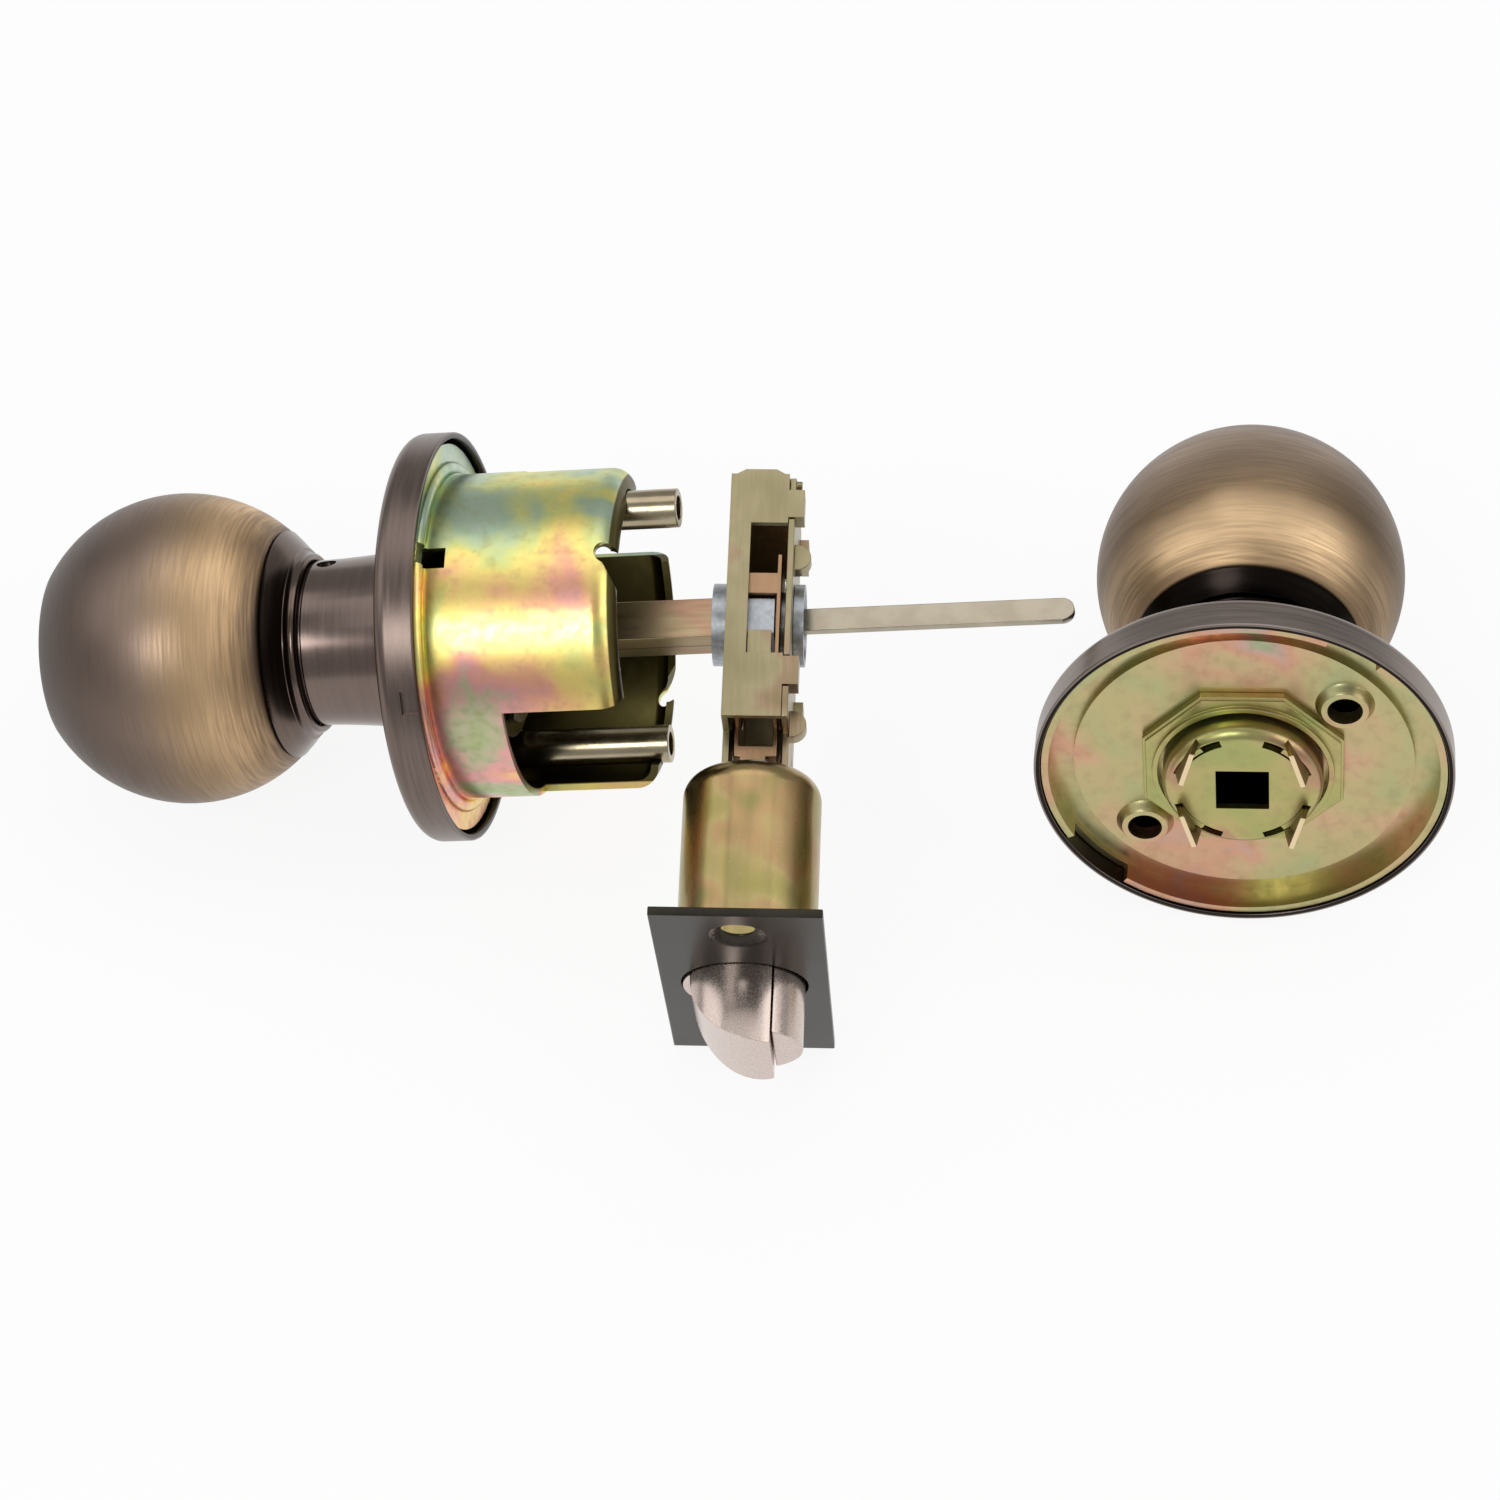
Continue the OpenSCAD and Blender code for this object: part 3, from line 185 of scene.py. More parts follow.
class KnobSettings(bpy.types.PropertyGroup):
    """Sizes of the turned and pressed parts, their main colours, and the strength of the light"""
    ball_radius: length("Ball radius", "Radius of the knob's ball", 25)
    front_radius: length("Front radius", "Radius of the flatter dome at the front", 40)
    front_drop: length("Front drop", "How far the front dome cuts into the ball", 2)
    seam_reach: length("Seam reach", "From the ball's centre to its seam", 17)
    wall: length("Wall", "Sheet thickness of the ball", 1.2)
    neck_radius: length("Neck radius", "Radius of the neck at the back cap", 13.2)
    neck_flare: length("Neck flare", "How much wider the neck is at the rose", 1.6)
    rose_radius: length("Rose radius", "Radius of each rose", 32.5)
    rose_depth: length("Rose depth", "Depth of each rose", 6.5)
    rose_edge: length("Rose edge", "Rounding of the rose's front edge", 2)
    press_edge: length("Pressed edge", "Rounding of edges of pressed sheet", 0.18)
    cast_edge: length("Cast edge", "Rounding of edges of cast parts", 0.3)
    rose_tone: tone("Rose", "Satin of the outer rose", 106, 93, 87)
    rose_lines: tone("Rose lines", "Brushed lines on the outer rose", 121, 107, 100)
    face_tone: tone("Faceplate", "Bronze of the faceplate", 52, 48, 43)
    face_spots: tone("Faceplate spots", "Paler spots on the faceplate", 60, 56, 50)
    bolt_tone: tone("Bolts", "Satin nickel of the bolts", 196, 178, 169)
    bolt_spots: tone("Bolt spots", "Paler spots on the bolts", 212, 196, 187)
    light: bpy.props.FloatProperty(name="Light", description="Strength of the softboxes",
                                   default=1.0, min=0.0, max=4.0)
    fill: bpy.props.FloatProperty(name="Fill", description="Strength of the room's even light",
                                  default=0.42, min=0.0, max=2.0)


# Shading: sockets that take part in arithmetic, and the finishes made with them

def srgb(red, green, blue):
    """Linear colour of a display colour in 0 to 255"""
    def linear(v):
        v /= 255
        return v / 12.92 if v <= 0.04045 else ((v + 0.055) / 1.055) ** 2.4
    return (linear(red), linear(green), linear(blue), 1.0)


class Out:
    """An output socket that takes part in arithmetic"""

    def __init__(self, tree, socket):
        self.tree = tree
        self.socket = socket

    def _math(self, operation, first, second):
        if "VECTOR" in (kind(first), kind(second)):
            return self.tree.make("ShaderNodeVectorMath", {"operation": operation}, first, second)
        return self.tree.make("ShaderNodeMath", {"operation": operation}, first, second)

    def __add__(self, other):
        return self._math("ADD", self, other)

    __radd__ = __add__

    def __sub__(self, other):
        return self._math("SUBTRACT", self, other)

    def __rsub__(self, other):
        return self._math("SUBTRACT", other, self)

    def __mul__(self, other):
        return self._math("MULTIPLY", self, other)

    __rmul__ = __mul__

    def __truediv__(self, other):
        return self._math("DIVIDE", self, other)

    def __pow__(self, other):
        return self._math("POWER", self, other)

    def ramp(self, low, high, out_low=0.0, out_high=1.0):
        """Smooth step from one value to another"""
        return self.tree.make("ShaderNodeMapRange", {"interpolation_type": "SMOOTHSTEP"},
                              self, low, high, out_low, out_high)

    def blend(self, first, second):
        """Colour between two colours, this socket being the share of the second"""
        return self.tree.blend(self, first, second)


def kind(value):
    if isinstance(value, Out):
        return value.socket.type
    return "VALUE" if isinstance(value, (int, float)) else "VECTOR"


class Finish:
    """Node tree of one metal, with coordinates along the part that it is on, in millimetres"""

    def __init__(self, name, place):
        self.material = bpy.data.materials.new(name)
        self.material.use_nodes = True
        self.nodes = self.material.node_tree.nodes
        self.links = self.material.node_tree.links
        self.surface = next(n for n in self.nodes if n.type == "BSDF_PRINCIPLED")
        coordinates = Out(self, self.add("ShaderNodeTexCoord", {}).outputs["Object"])
        mapping = self.add("ShaderNodeMapping", {"vector_type": "TEXTURE"})
        mapping.inputs["Location"].default_value = place.to_translation()
        mapping.inputs["Rotation"].default_value = place.to_euler("XYZ")
        mapping.inputs["Scale"].default_value = (MM, MM, MM)
        self.feed(mapping.inputs["Vector"], coordinates)
        self.at = Out(self, mapping.outputs[0])
        split = self.add("ShaderNodeSeparateXYZ", {})
        self.feed(split.inputs[0], self.at)
        self.x, self.y, self.z = (Out(self, s) for s in split.outputs)
        self.out = (self.x * self.x + self.y * self.y) ** 0.5

    def add(self, name, options):
        node = self.nodes.new(name)
        for key, value in options.items():
            setattr(node, key, value)
        return node

    def feed(self, socket, value):
        if isinstance(value, Out):
            self.links.new(value.socket, socket)
        elif isinstance(value, (int, float)) and socket.type == "VECTOR":
            socket.default_value = (value, value, value)
        else:
            socket.default_value = value

    def make(self, name, options, *inputs):
        """Any node: its options, then the values of its first inputs"""
        node = self.add(name, options)
        for socket, value in zip(node.inputs, inputs):
            self.feed(socket, value)
        return Out(self, node.outputs[0])

    def vector(self, x, y, z):
        return self.make("ShaderNodeCombineXYZ", {}, x, y, z)

    def blend(self, share, first, second):
        """Colour between two colours, with the share of the second"""
        node = self.add("ShaderNodeMix", {"data_type": "RGBA", "clamp_factor": True})
        for number, value in ((0, share), (6, first), (7, second)):
            self.feed(node.inputs[number], value)
        return Out(self, node.outputs[2])

    def noise(self, at, scale=1.0, detail=3.0, distortion=0.0):
        node = self.add("ShaderNodeTexNoise", {"noise_dimensions": "3D"})
        self.feed(node.inputs["Vector"], at)
        node.inputs["Scale"].default_value = scale
        node.inputs["Detail"].default_value = detail
        node.inputs["Distortion"].default_value = distortion
        return Out(self, node.outputs[0])

    def colours(self, value, stops):
        """Colour ramp: (position, display colour) pairs"""
        node = self.add("ShaderNodeValToRGB", {})
        self.feed(node.inputs[0], value)
        elements = node.color_ramp.elements
        while len(elements) > 1:
            elements.remove(elements[-1])
        elements[0].position, elements[0].color = stops[0][0], srgb(*stops[0][1])
        for position, colour in stops[1:]:
            elements.new(position).color = srgb(*colour)
        return Out(self, node.outputs[0])

    def metal(self, colour, roughness, relief, depth):
        """Metal with a colour and a roughness that vary, and a fine relief of a given depth"""
        inputs = self.surface.inputs
        self.feed(inputs["Base Color"], colour)
        self.feed(inputs["Roughness"], roughness)
        inputs["Metallic"].default_value = 1.0
        node = self.add("ShaderNodeBump", {})
        node.inputs["Strength"].default_value = 0.5
        node.inputs["Distance"].default_value = depth * MM
        self.feed(node.inputs["Height"], relief)
        self.feed(inputs["Normal"], Out(self, node.outputs[0]))
        return self.material


def brushed(f, along, fineness=3.0, streak=0.12):
    """Fine lines that run round the axis: noise stretched along the circumference"""
    fine = f.noise(f.vector(f.x * streak, f.y * streak, along * fineness), 1.0, 3.0)
    broad = f.noise(f.vector(f.x * 0.08, f.y * 0.08, along * 0.7), 1.0, 2.0)
    return fine * 0.72 + broad * 0.28


# Tone of the brass along the knob's axis, from its front to its seam: partly the brass's patina
# and
# # rubbed gold, partly painted highlight on the bright band and painted shade towards the front
# and the seam
OUTER_TONE = [
    (0.0, (70, 64, 62)), (0.14, (86, 77, 73)), (0.26, (99, 87, 81)), (0.36, (121, 105, 96)),
    (0.47, (143, 124, 110)), (0.56, (172, 147, 121)), (0.64, (198, 167, 129)),
    (0.72, (230, 194, 150)), (0.78, (198, 165, 126)), (0.84, (140, 118, 97)),
    (0.88, (108, 92, 82))]
INNER_TONE = [
    (0.0, (120, 106, 98)), (0.16, (132, 117, 108)), (0.4, (182, 160, 140)),
    (0.62, (146, 123, 94)), (0.74, (232, 199, 156)), (0.81, (190, 160, 122)),
    (0.88, (150, 124, 94))]


def brass_finish(name, place, stops, under=0.0, sides=0.0):
    """Antique brass brushed in rings. Its tone along the axis is partly rubbed gold and patina,
    partly painted highlight and painted shade towards the poles. Two shares paint shade on its
    underside and on both its sides"""
    f = Finish(name, place)
    lines = brushed(f, f.z)
    patches = f.noise(f.at, 0.07, 2.0)
    along = f.z + (patches - 0.5) * 6 + (lines - 0.5) * 5
    # Painted highlight and painted shade along the axis, mixed with the brass's own patina and
    # rubbed gold
    rubbed_and_lit_tone = f.colours(along / KNOB_D + 0.5, stops)
    colour = (lines.ramp(0.36, 0.64) * 0.3).blend(rubbed_and_lit_tone, srgb(112, 96, 84))
    # Painted shade: the underside and both sides are darkened towards a shade brown
    low = (f.x * 0.82 + f.y * 0.56).ramp(3, 21, 0, under)
    shade = low + (f.y * f.y).ramp(60, 420, 0, sides)
    colour = shade.blend(colour, srgb(74, 60, 50))
    return f.metal(colour, lines.ramp(0.3, 0.7, 0.4, 0.5), lines, 0.06)


def rose_finish(name, place, colour_a, colour_b):
    """Grey-brown satin, brushed round the rim, with painted shade, nearly black, inside and on the
    rim's inner edge
    """
    inner_wall, inner_edge = 31.52, 32.1
    f = Finish(name, place)
    lines = brushed(f, f.z + f.out, 2.5, 0.08)
    satin = lines.ramp(0.3, 0.7).blend(srgb(*colour_a), srgb(*colour_b))
    # Painted shade: the inside and a thin line on the rim's inner edge go nearly black
    edge = f.z.ramp(-0.12, -0.04) * f.out.ramp(inner_edge, inner_edge + 0.1, 1, 0)
    inside = f.out.ramp(inner_wall, inner_wall + 0.06, 1, 0) + edge
    colour = inside.blend(satin, srgb(40, 34, 32))
    return f.metal(colour, lines.ramp(0.3, 0.7, 0.28, 0.36), lines, 0.008)


def depth_finish(name, place, stops, reach, floor, dark, contrast=1.5, lean=0.0):
    """Zinc that falls into shade inside a given radius and below a given height"""
    f = zinc_nodes(name, place, stops, scale=0.07, contrast=contrast, draw=(0.6, 0.6, 0.6),
                   lean=lean)
    deep = f.out.ramp(reach, reach + 0.2, 1, 0) * f.z.ramp(floor - 0.6, floor, 1, 0)
    return zinc_metal(f, deep.blend(f.colour, srgb(*dark)))


def neck_finish(name, place, colour_a, colour_b):
    """Satin neck with the faintest lines round it"""
    f = Finish(name, place)
    lines = brushed(f, f.z, 2.5, 0.08)
    colour = lines.ramp(0.2, 0.8).blend(srgb(*colour_a), srgb(*colour_b))
    return f.metal(colour, lines.ramp(0.3, 0.7, 0.2, 0.25), lines, 0.003)


# Films of colour on passivated zinc, from thin to thick, as display colours
CUP = [
    (0.0, (196, 206, 196)), (0.22, (176, 198, 168)), (0.36, (214, 216, 136)),
    (0.46, (244, 222, 132)), (0.55, (246, 206, 136)), (0.64, (240, 176, 146)),
    (0.71, (226, 166, 162)), (0.79, (186, 184, 150)), (0.9, (158, 178, 112))]
DULL = [
    (0.0, (166, 178, 150)), (0.25, (178, 176, 128)), (0.42, (190, 176, 128)),
    (0.54, (200, 172, 134)), (0.64, (206, 158, 130)), (0.74, (196, 164, 150)),
    (0.86, (164, 178, 142))]
GREENISH = [
    (0.0, (146, 164, 104)), (0.4, (172, 170, 108)), (0.58, (186, 170, 116)),
    (0.7, (184, 144, 116)), (0.85, (152, 160, 104))]
OLIVE = [
    (0.0, (140, 130, 80)), (0.35, (158, 146, 92)), (0.5, (170, 152, 104)),
    (0.62, (170, 140, 100)), (0.8, (142, 133, 84))]
POST = [(0.0, (160, 148, 124)), (0.5, (178, 166, 140)), (1.0, (150, 134, 112))]
PINKISH = [(0.0, (150, 122, 94)), (0.5, (164, 130, 102)), (1.0, (140, 116, 82))]
SPINDLE = [
    (0.0, (152, 150, 108)), (0.3, (172, 162, 120)), (0.5, (182, 160, 126)),
    (0.62, (184, 146, 122)), (0.8, (158, 152, 112))]
KHAKI = [
    (0.0, (136, 128, 96)), (0.4, (150, 140, 108)), (0.55, (156, 145, 114)),
    (0.68, (154, 132, 108)), (0.85, (136, 120, 92))]


def zinc_nodes(name, place, stops, grain=(1, 1, 1), scale=0.06, contrast=1.5, rough=0.3,
               draw=(1.8, 1.8, 0.1), lean=0.0):
    """Yellow passivated zinc: films of colour drift over drawn lines. With a lean, the films
    thicken along x and thin on the other side of lean_middle"""
    lean_middle = 9
    f = Finish(name, place)
    x, y, z = grain
    drift = f.noise(f.vector(f.x * x, f.y * y, f.z * z), scale, 2.0, 0.5)
    a, b, c = draw
    lines = f.noise(f.vector(f.x * a, f.y * b, f.z * c), 1.0, 3.0)
    film = (drift - 0.5) * contrast + 0.5 + (lines - 0.5) * 0.1 + (f.x - lean_middle) * lean
    bare = f.colours(film, stops)
    f.colour = (lines.ramp(0.45, 0.75) * 0.25).blend(bare, srgb(150, 140, 104))
    f.lines, f.rough = lines, rough
    return f


def zinc_metal(f, colour):
    return f.metal(colour, f.lines.ramp(0.3, 0.7, f.rough, f.rough + 0.08), f.lines, 0.006)


def zinc_finish(*args, **options):
    f = zinc_nodes(*args, **options)
    return zinc_metal(f, f.colour)


def claw_finish():
    """Brown sides and a bare sheared edge on the claws"""
    top = CLAW_FOOT + CLAW_RISE
    f = zinc_nodes("claw zinc", INNER, OLIVE, scale=0.3)
    brown = f.blend(0.6, f.colour, srgb(96, 76, 44))
    sheared = f.z.ramp(top - 0.15, top - 0.02)
    return zinc_metal(f, sheared.blend(brown, srgb(232, 210, 170)))


def spindle_finish():
    """Square tube: its near face is darkened by painted shade, and its folded seam shows as a dark
    line
    """
    half = 3.3
    f = zinc_nodes("spindle zinc", OUTER, SPINDLE, (1, 1, 0.4), 0.14)
    # Painted shade on the near face, which is made duller and more olive than the top face
    shaded_near_face = f.x.ramp(half - 0.3, half - 0.1)
    seam = f.y.ramp(0.0, 0.1) * f.y.ramp(0.3, 0.4, 1, 0)
    colour = (shaded_near_face * 0.45).blend(f.colour, srgb(104, 98, 62))
    return zinc_metal(f, (shaded_near_face * seam * 0.7).blend(colour, srgb(56, 48, 34)))


def plain_finish(name, place, colour_a, colour_b, rough, scale=0.4, depth=0.002):
    """Plain metal with a mottled tone"""
    f = Finish(name, place)
    spots = f.noise(f.at, scale, 3.0)
    colour = spots.ramp(0.35, 0.65).blend(srgb(*colour_a), srgb(*colour_b))
    return f.metal(colour, spots.ramp(0.3, 0.7, rough, rough + 0.06), spots, depth)


# Modelling steps that the pieces share

def deselect():
    if bpy.context.object and bpy.context.object.mode != "OBJECT":
        bpy.ops.object.mode_set(mode="OBJECT")
    bpy.ops.object.select_all(action="DESELECT")


def activate(obj):
    deselect()
    obj.select_set(True)
    bpy.context.view_layer.objects.active = obj


def lathe(name, place, profile, turns=TURNS):
    """Turns a closed profile of (radius, height) points, in millimetres, round the z axis"""
    deselect()
    profile = held(profile)
    radius, height = profile[0]
    bpy.ops.mesh.primitive_circle_add(vertices=turns, radius=radius * MM,
                                      location=(0, 0, height * MM))
    obj = bpy.context.object
    obj.name = obj.data.name = name
    bpy.ops.object.transform_apply(location=True, rotation=True, scale=True)
    bpy.ops.object.mode_set(mode="EDIT")
    bpy.ops.mesh.select_all(action="SELECT")
    for next_radius, next_height in profile[1:] + profile[:1]:
        bpy.ops.mesh.extrude_edges_move(
            TRANSFORM_OT_translate={"value": (0, 0, (next_height - height) * MM)})
        factor = next_radius / radius
        bpy.ops.transform.resize(value=(factor, factor, 1), center_override=(0, 0, 0))
        radius, height = next_radius, next_height
    bpy.ops.mesh.select_all(action="SELECT")
    bpy.ops.mesh.remove_doubles(threshold=MERGE)
    bpy.ops.mesh.normals_make_consistent(inside=False)
    bpy.ops.object.mode_set(mode="OBJECT")
    settle(obj, place)
    return obj


def settle(obj, place):
    """Moves the piece and keeps the move in its mesh"""
    obj.matrix_world = place
    bpy.ops.object.transform_apply(location=True, rotation=True, scale=True)


def finish_modifier(obj, sort, **options):
    """Adds a modifier to the active piece and applies it"""
    modifier = obj.modifiers.new(sort.lower(), sort)
    for name, value in options.items():
        setattr(modifier, name, value)
    bpy.ops.object.modifier_apply(modifier=modifier.name)


def smooth(obj):
    activate(obj)
    bpy.ops.object.shade_smooth_by_angle(angle=math.radians(SMOOTH_ANGLE))


def flatten(obj):
    """Lets the large faces decide the normals, so that flat sheet looks flat"""
    activate(obj)
    finish_modifier(obj, "WEIGHTED_NORMAL", weight=100, keep_sharp=True)


def cut(obj, cutter):
    """Takes a closed shape out of the piece"""
    activate(obj)
    finish_modifier(obj, "BOOLEAN", object=cutter, solver="EXACT")
    bpy.data.objects.remove(cutter)


def box_at(place, x, y, z):
    """Box between two corners on the part's own axes"""
    deselect()
    centre = Vector(((x[0] + x[1]) / 2, (y[0] + y[1]) / 2, (z[0] + z[1]) / 2)) * MM
    bpy.ops.mesh.primitive_cube_add(size=1, location=(0, 0, 0))
    obj = bpy.context.object
    sizes = Matrix.Diagonal(((x[1] - x[0]) * MM, (y[1] - y[0]) * MM, (z[1] - z[0]) * MM, 1))
    settle(obj, place @ Matrix.Translation(centre) @ sizes)
    return obj


def rod_at(place, radius, start, stop):
    """Cylinder along the part's z axis"""
    deselect()
    bpy.ops.mesh.primitive_cylinder_add(vertices=48, radius=radius * MM,
                                        depth=(stop - start) * MM)
    obj = bpy.context.object
    settle(obj, place @ moved(0, 0, (start + stop) / 2))
    return obj


def held(profile):
    """The profile with a point close to each end of its long straights, which keeps them flat"""
    points = []
    for i, (r, z) in enumerate(profile):
        points.append((r, z))
        next_r, next_z = profile[(i + 1) % len(profile)]
        size = math.hypot(next_r - r, next_z - z)
        if size > 1.0:
            for share in (GRIP / size, 1 - GRIP / size):
                points.append((r + (next_r - r) * share, z + (next_z - z) * share))
    return points


def arc(centre_r, centre_z, radius, start, stop, steps):
    """Points on an arc of the profile, with angles from the outward direction"""
    points = []
    for i in range(steps + 1):
        a = math.radians(start + (stop - start) * i / steps)
        points.append((centre_r + radius * math.cos(a), centre_z + radius * math.sin(a)))
    return points


def place_piece(obj, body, slot, *nodes):
    """Puts a piece on its body and slot, in place of the CAD nodes that it stands for"""
    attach(obj, body)
    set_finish(obj, slot)
    if nodes:
        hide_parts(*nodes)


def soft_copy(node, edge):
    """Merged copy of a CAD node with its edges broken by a small round"""
    source = frame["nodes"][node]
    obj = bpy.data.objects.new(node + "_finished", source.data.copy())
    bpy.context.scene.collection.objects.link(obj)
    activate(obj)
    bpy.ops.object.mode_set(mode="EDIT")
    bpy.ops.mesh.select_all(action="SELECT")
    bpy.ops.mesh.remove_doubles(threshold=MERGE)
    bpy.ops.mesh.dissolve_limited(angle_limit=math.radians(0.4))
    bpy.ops.mesh.normals_make_consistent(inside=False)
    bpy.ops.object.mode_set(mode="OBJECT")
    finish_modifier(obj, "BEVEL", width=edge, segments=2, limit_method="ANGLE",
                    angle_limit=math.radians(EDGE_ANGLE))
    smooth(obj)
    flatten(obj)
    return obj


# Pieces, each with the outline that it is turned from

def ball_profile(s, hole):
    """Outline of the ball: front dome, ball, rolled seam, and back inside the wall"""
    k = 1 / MM
    ball, front, wall = s.ball_radius * k, s.front_radius * k, s.wall * k
    seam, roll = s.seam_reach * k, 0.35
    apex = s.front_drop * k - ball
    centre = apex + front

    def meeting(r_front, r_ball):
        z = (r_ball ** 2 - r_front ** 2 + centre ** 2) / (2 * centre)
        return z, math.sqrt(r_ball ** 2 - z ** 2)

    def side(inset, seam_at, steps):
        r_front, r_ball = front - inset, ball - inset
        z, r = meeting(r_front, r_ball)
        first = -math.degrees(math.acos(hole / r_front))
        last = math.degrees(math.atan2(z - centre, r))
        dome = arc(0, centre, r_front, first, last, steps // 3)
        start, stop = math.degrees(math.atan2(z, r)), math.degrees(math.asin(seam_at / r_ball))
        return dome + arc(0, 0, r_ball, start, stop, steps)[1:]

    outer = side(0, seam - roll, 48)
    inner = side(wall, seam, 40)
    lip_r = math.sqrt(ball ** 2 - seam ** 2)
    lip = [(lip_r + 0.02, seam - 0.12), (lip_r - 0.22, seam)]
    return outer + lip + inner[::-1]


class KNOB_OT_balls(bpy.types.Operator):
    """Turn the two knob shells, each open at the front and at its seam"""
    bl_idname = "knob.balls"
    bl_label = "Knob shells"

    def execute(self, context):
        s = context.scene.knob
        for knob, place, hole in (("outer_knob", OUTER_KNOB, KEY_OPENING),
                                  ("inner_knob", INNER_KNOB, BUTTON_OPENING)):
            shell = lathe(knob + "_ball", place, ball_profile(s, hole))
            smooth(shell)
            place_piece(shell, knob, "brass", knob + "_shell")
        return {"FINISHED"}


def cap_profile(s):
    """Outline of the back cap: dome, cove, rolled bead, and back inside the sheet"""
    k = 1 / MM
    seam_gap, push, dome_end = 0.3, 0.6, 15.3
    cove_r, bead_r, hole = 1.25, 0.62, 13.15
    skin = s.ball_radius * k - 0.25
    seam = s.seam_reach * k + seam_gap
    first = math.degrees(math.asin((seam - push) / skin))
    last = math.degrees(math.acos(dome_end / skin))
    dome = arc(0, push, skin, first + 0.9, last, 20)
    lip_r = skin * math.cos(math.radians(first))
    lip = [(lip_r - 0.3, seam), (lip_r - 0.05, seam + 0.1)]
    cove = arc(15.35, 21.45, cove_r, -92, -158, 8)
    bead = arc(13.8, 21.2, bead_r, -8, 188, 14)
    under = [(hole, 20.9), (hole, 19.9), (15.2, 18.9), (17.1, seam)]
    return lip + dome + cove + bead + under


def neck_profile(s):
    """Outline of the neck: a spigot, a shoulder, and a trumpet that opens to the rose"""
    k = 1 / MM
    spigot, inside = 12.95, 11.9
    start, shoulder, stop = 18.2, 22.5, 40.9
    steps, flare_power = 22, 1.6
    outer = [(spigot, start), (spigot, shoulder - 0.3)]
    for i in range(steps + 1):
        share = i / steps
        outer.append((s.neck_radius * k + s.neck_flare * k * share ** flare_power,
                      shoulder + (stop - shoulder) * share))
    return outer + [(inside, stop), (inside, start)]


def rose_profile(s):
    """Outline of a rose: rim, rounded edge, flat face with a rolled hole"""
    k = 1 / MM
    hole, wall = 15.15, 1.0
    rim, depth, edge = s.rose_radius * k, s.rose_depth * k, s.rose_edge * k
    outer = [(rim - 0.25, 0), (rim - 0.07, -0.08), (rim, -0.3)]
    outer += arc(rim - edge, edge - depth, edge, 0, -90, 10)
    hole_edge = arc(hole + 0.4, wall / 2 - depth, wall / 2, -90, -270, 8)
    inner = arc(rim - edge, edge - depth, edge - wall, -90, 0, 6)
    return outer + hole_edge + inner + [(rim - wall, -0.2), (rim - wall + 0.15, 0)]


class KNOB_OT_caps(bpy.types.Operator):
    """Turn the back caps that close the balls, with a cove and a rolled bead"""
    bl_idname = "knob.caps"
    bl_label = "Back caps"

    def execute(self, context):
        for side, place in (("outer", OUTER_KNOB), ("inner", INNER_KNOB)):
            cap = lathe(side + "_back_cap_turned", place, cap_profile(context.scene.knob))
            smooth(cap)
            place_piece(cap, side + "_knob", "dark_neck", side + "_back_cap")
        return {"FINISHED"}


class KNOB_OT_necks(bpy.types.Operator):
    """Turn the necks, each with the hole for its catch"""
    bl_idname = "knob.necks"
    bl_label = "Necks"

    def execute(self, context):
        for side, place, slot in (("outer", OUTER_KNOB, "rose"),
                                  ("inner", INNER_KNOB, "dark_neck")):
            neck = lathe(side + "_neck_turned", place, neck_profile(context.scene.knob))
            hole = place @ turned("Z", CATCH_ANGLE) @ moved(0, 0, CATCH_REACH) @ turned("Y", 90)
            cut(neck, rod_at(hole, CATCH_HOLE, *CATCH_HOLE_RANGE))
            smooth(neck)
            place_piece(neck, side + "_knob", slot, side + "_neck")
        return {"FINISHED"}


class KNOB_OT_roses(bpy.types.Operator):
    """Turn the two roses; the outer one has three pressed marks round its rim"""
    bl_idname = "knob.roses"
    bl_label = "Roses"

    def execute(self, context):
        s = context.scene.knob
        rim = s.rose_radius / MM
        depth = (rim - MARK_DEPTH, rim + 1)
        for side, place in (("outer", OUTER), ("inner", INNER)):
            rose = lathe(side + "_rose_turned", place, rose_profile(s), turns=2 * TURNS)
            if side == "outer":
                for heading in (0, 120, 240):
                    spot = place @ turned("Z", MARK_ANGLE + heading)
                    cut(rose, box_at(spot, depth, (-MARK_HALF, MARK_HALF), MARK_RANGE))
            smooth(rose)
            place_piece(rose, side + "_rose_set", "rose", side + "_rose")
        return {"FINISHED"}


SOFT_PARTS = [
    ("outer_housing", "zinc", "press"), ("outer_base_plate", "zinc", "press"),
    ("mounting_posts", "post", "press"), ("spindle", "khaki", "press"),
    ("tail_bar", "bar", "press"), ("latch_case", "khaki", "press"),
    ("latch_cover", "khaki", "press"), ("latch_tube", "khaki", "press"),
    ("faceplate", "face", "press"), ("latch_hub", "diecast", "cast"),
    ("retractor", "khaki", "press"), ("latch_bolt", "nickel", "cast"),
    ("guard_bolt", "nickel", "press"), ("inner_liner", "zinc", "press"),
    ("inner_lock_plate", "zinc", "press"), ("inner_retainer", "zinc", "press"),
    ("inner_sleeve", "zinc", "press"), ("spring_guide", "steel", "press"),
    ("key_plug", "cylinder", "press"), ("cylinder_body", "cylinder", "press"),
    ("inner_button", "brass", "press"), ("outer_spring_cage", "zinc", "press"),
]


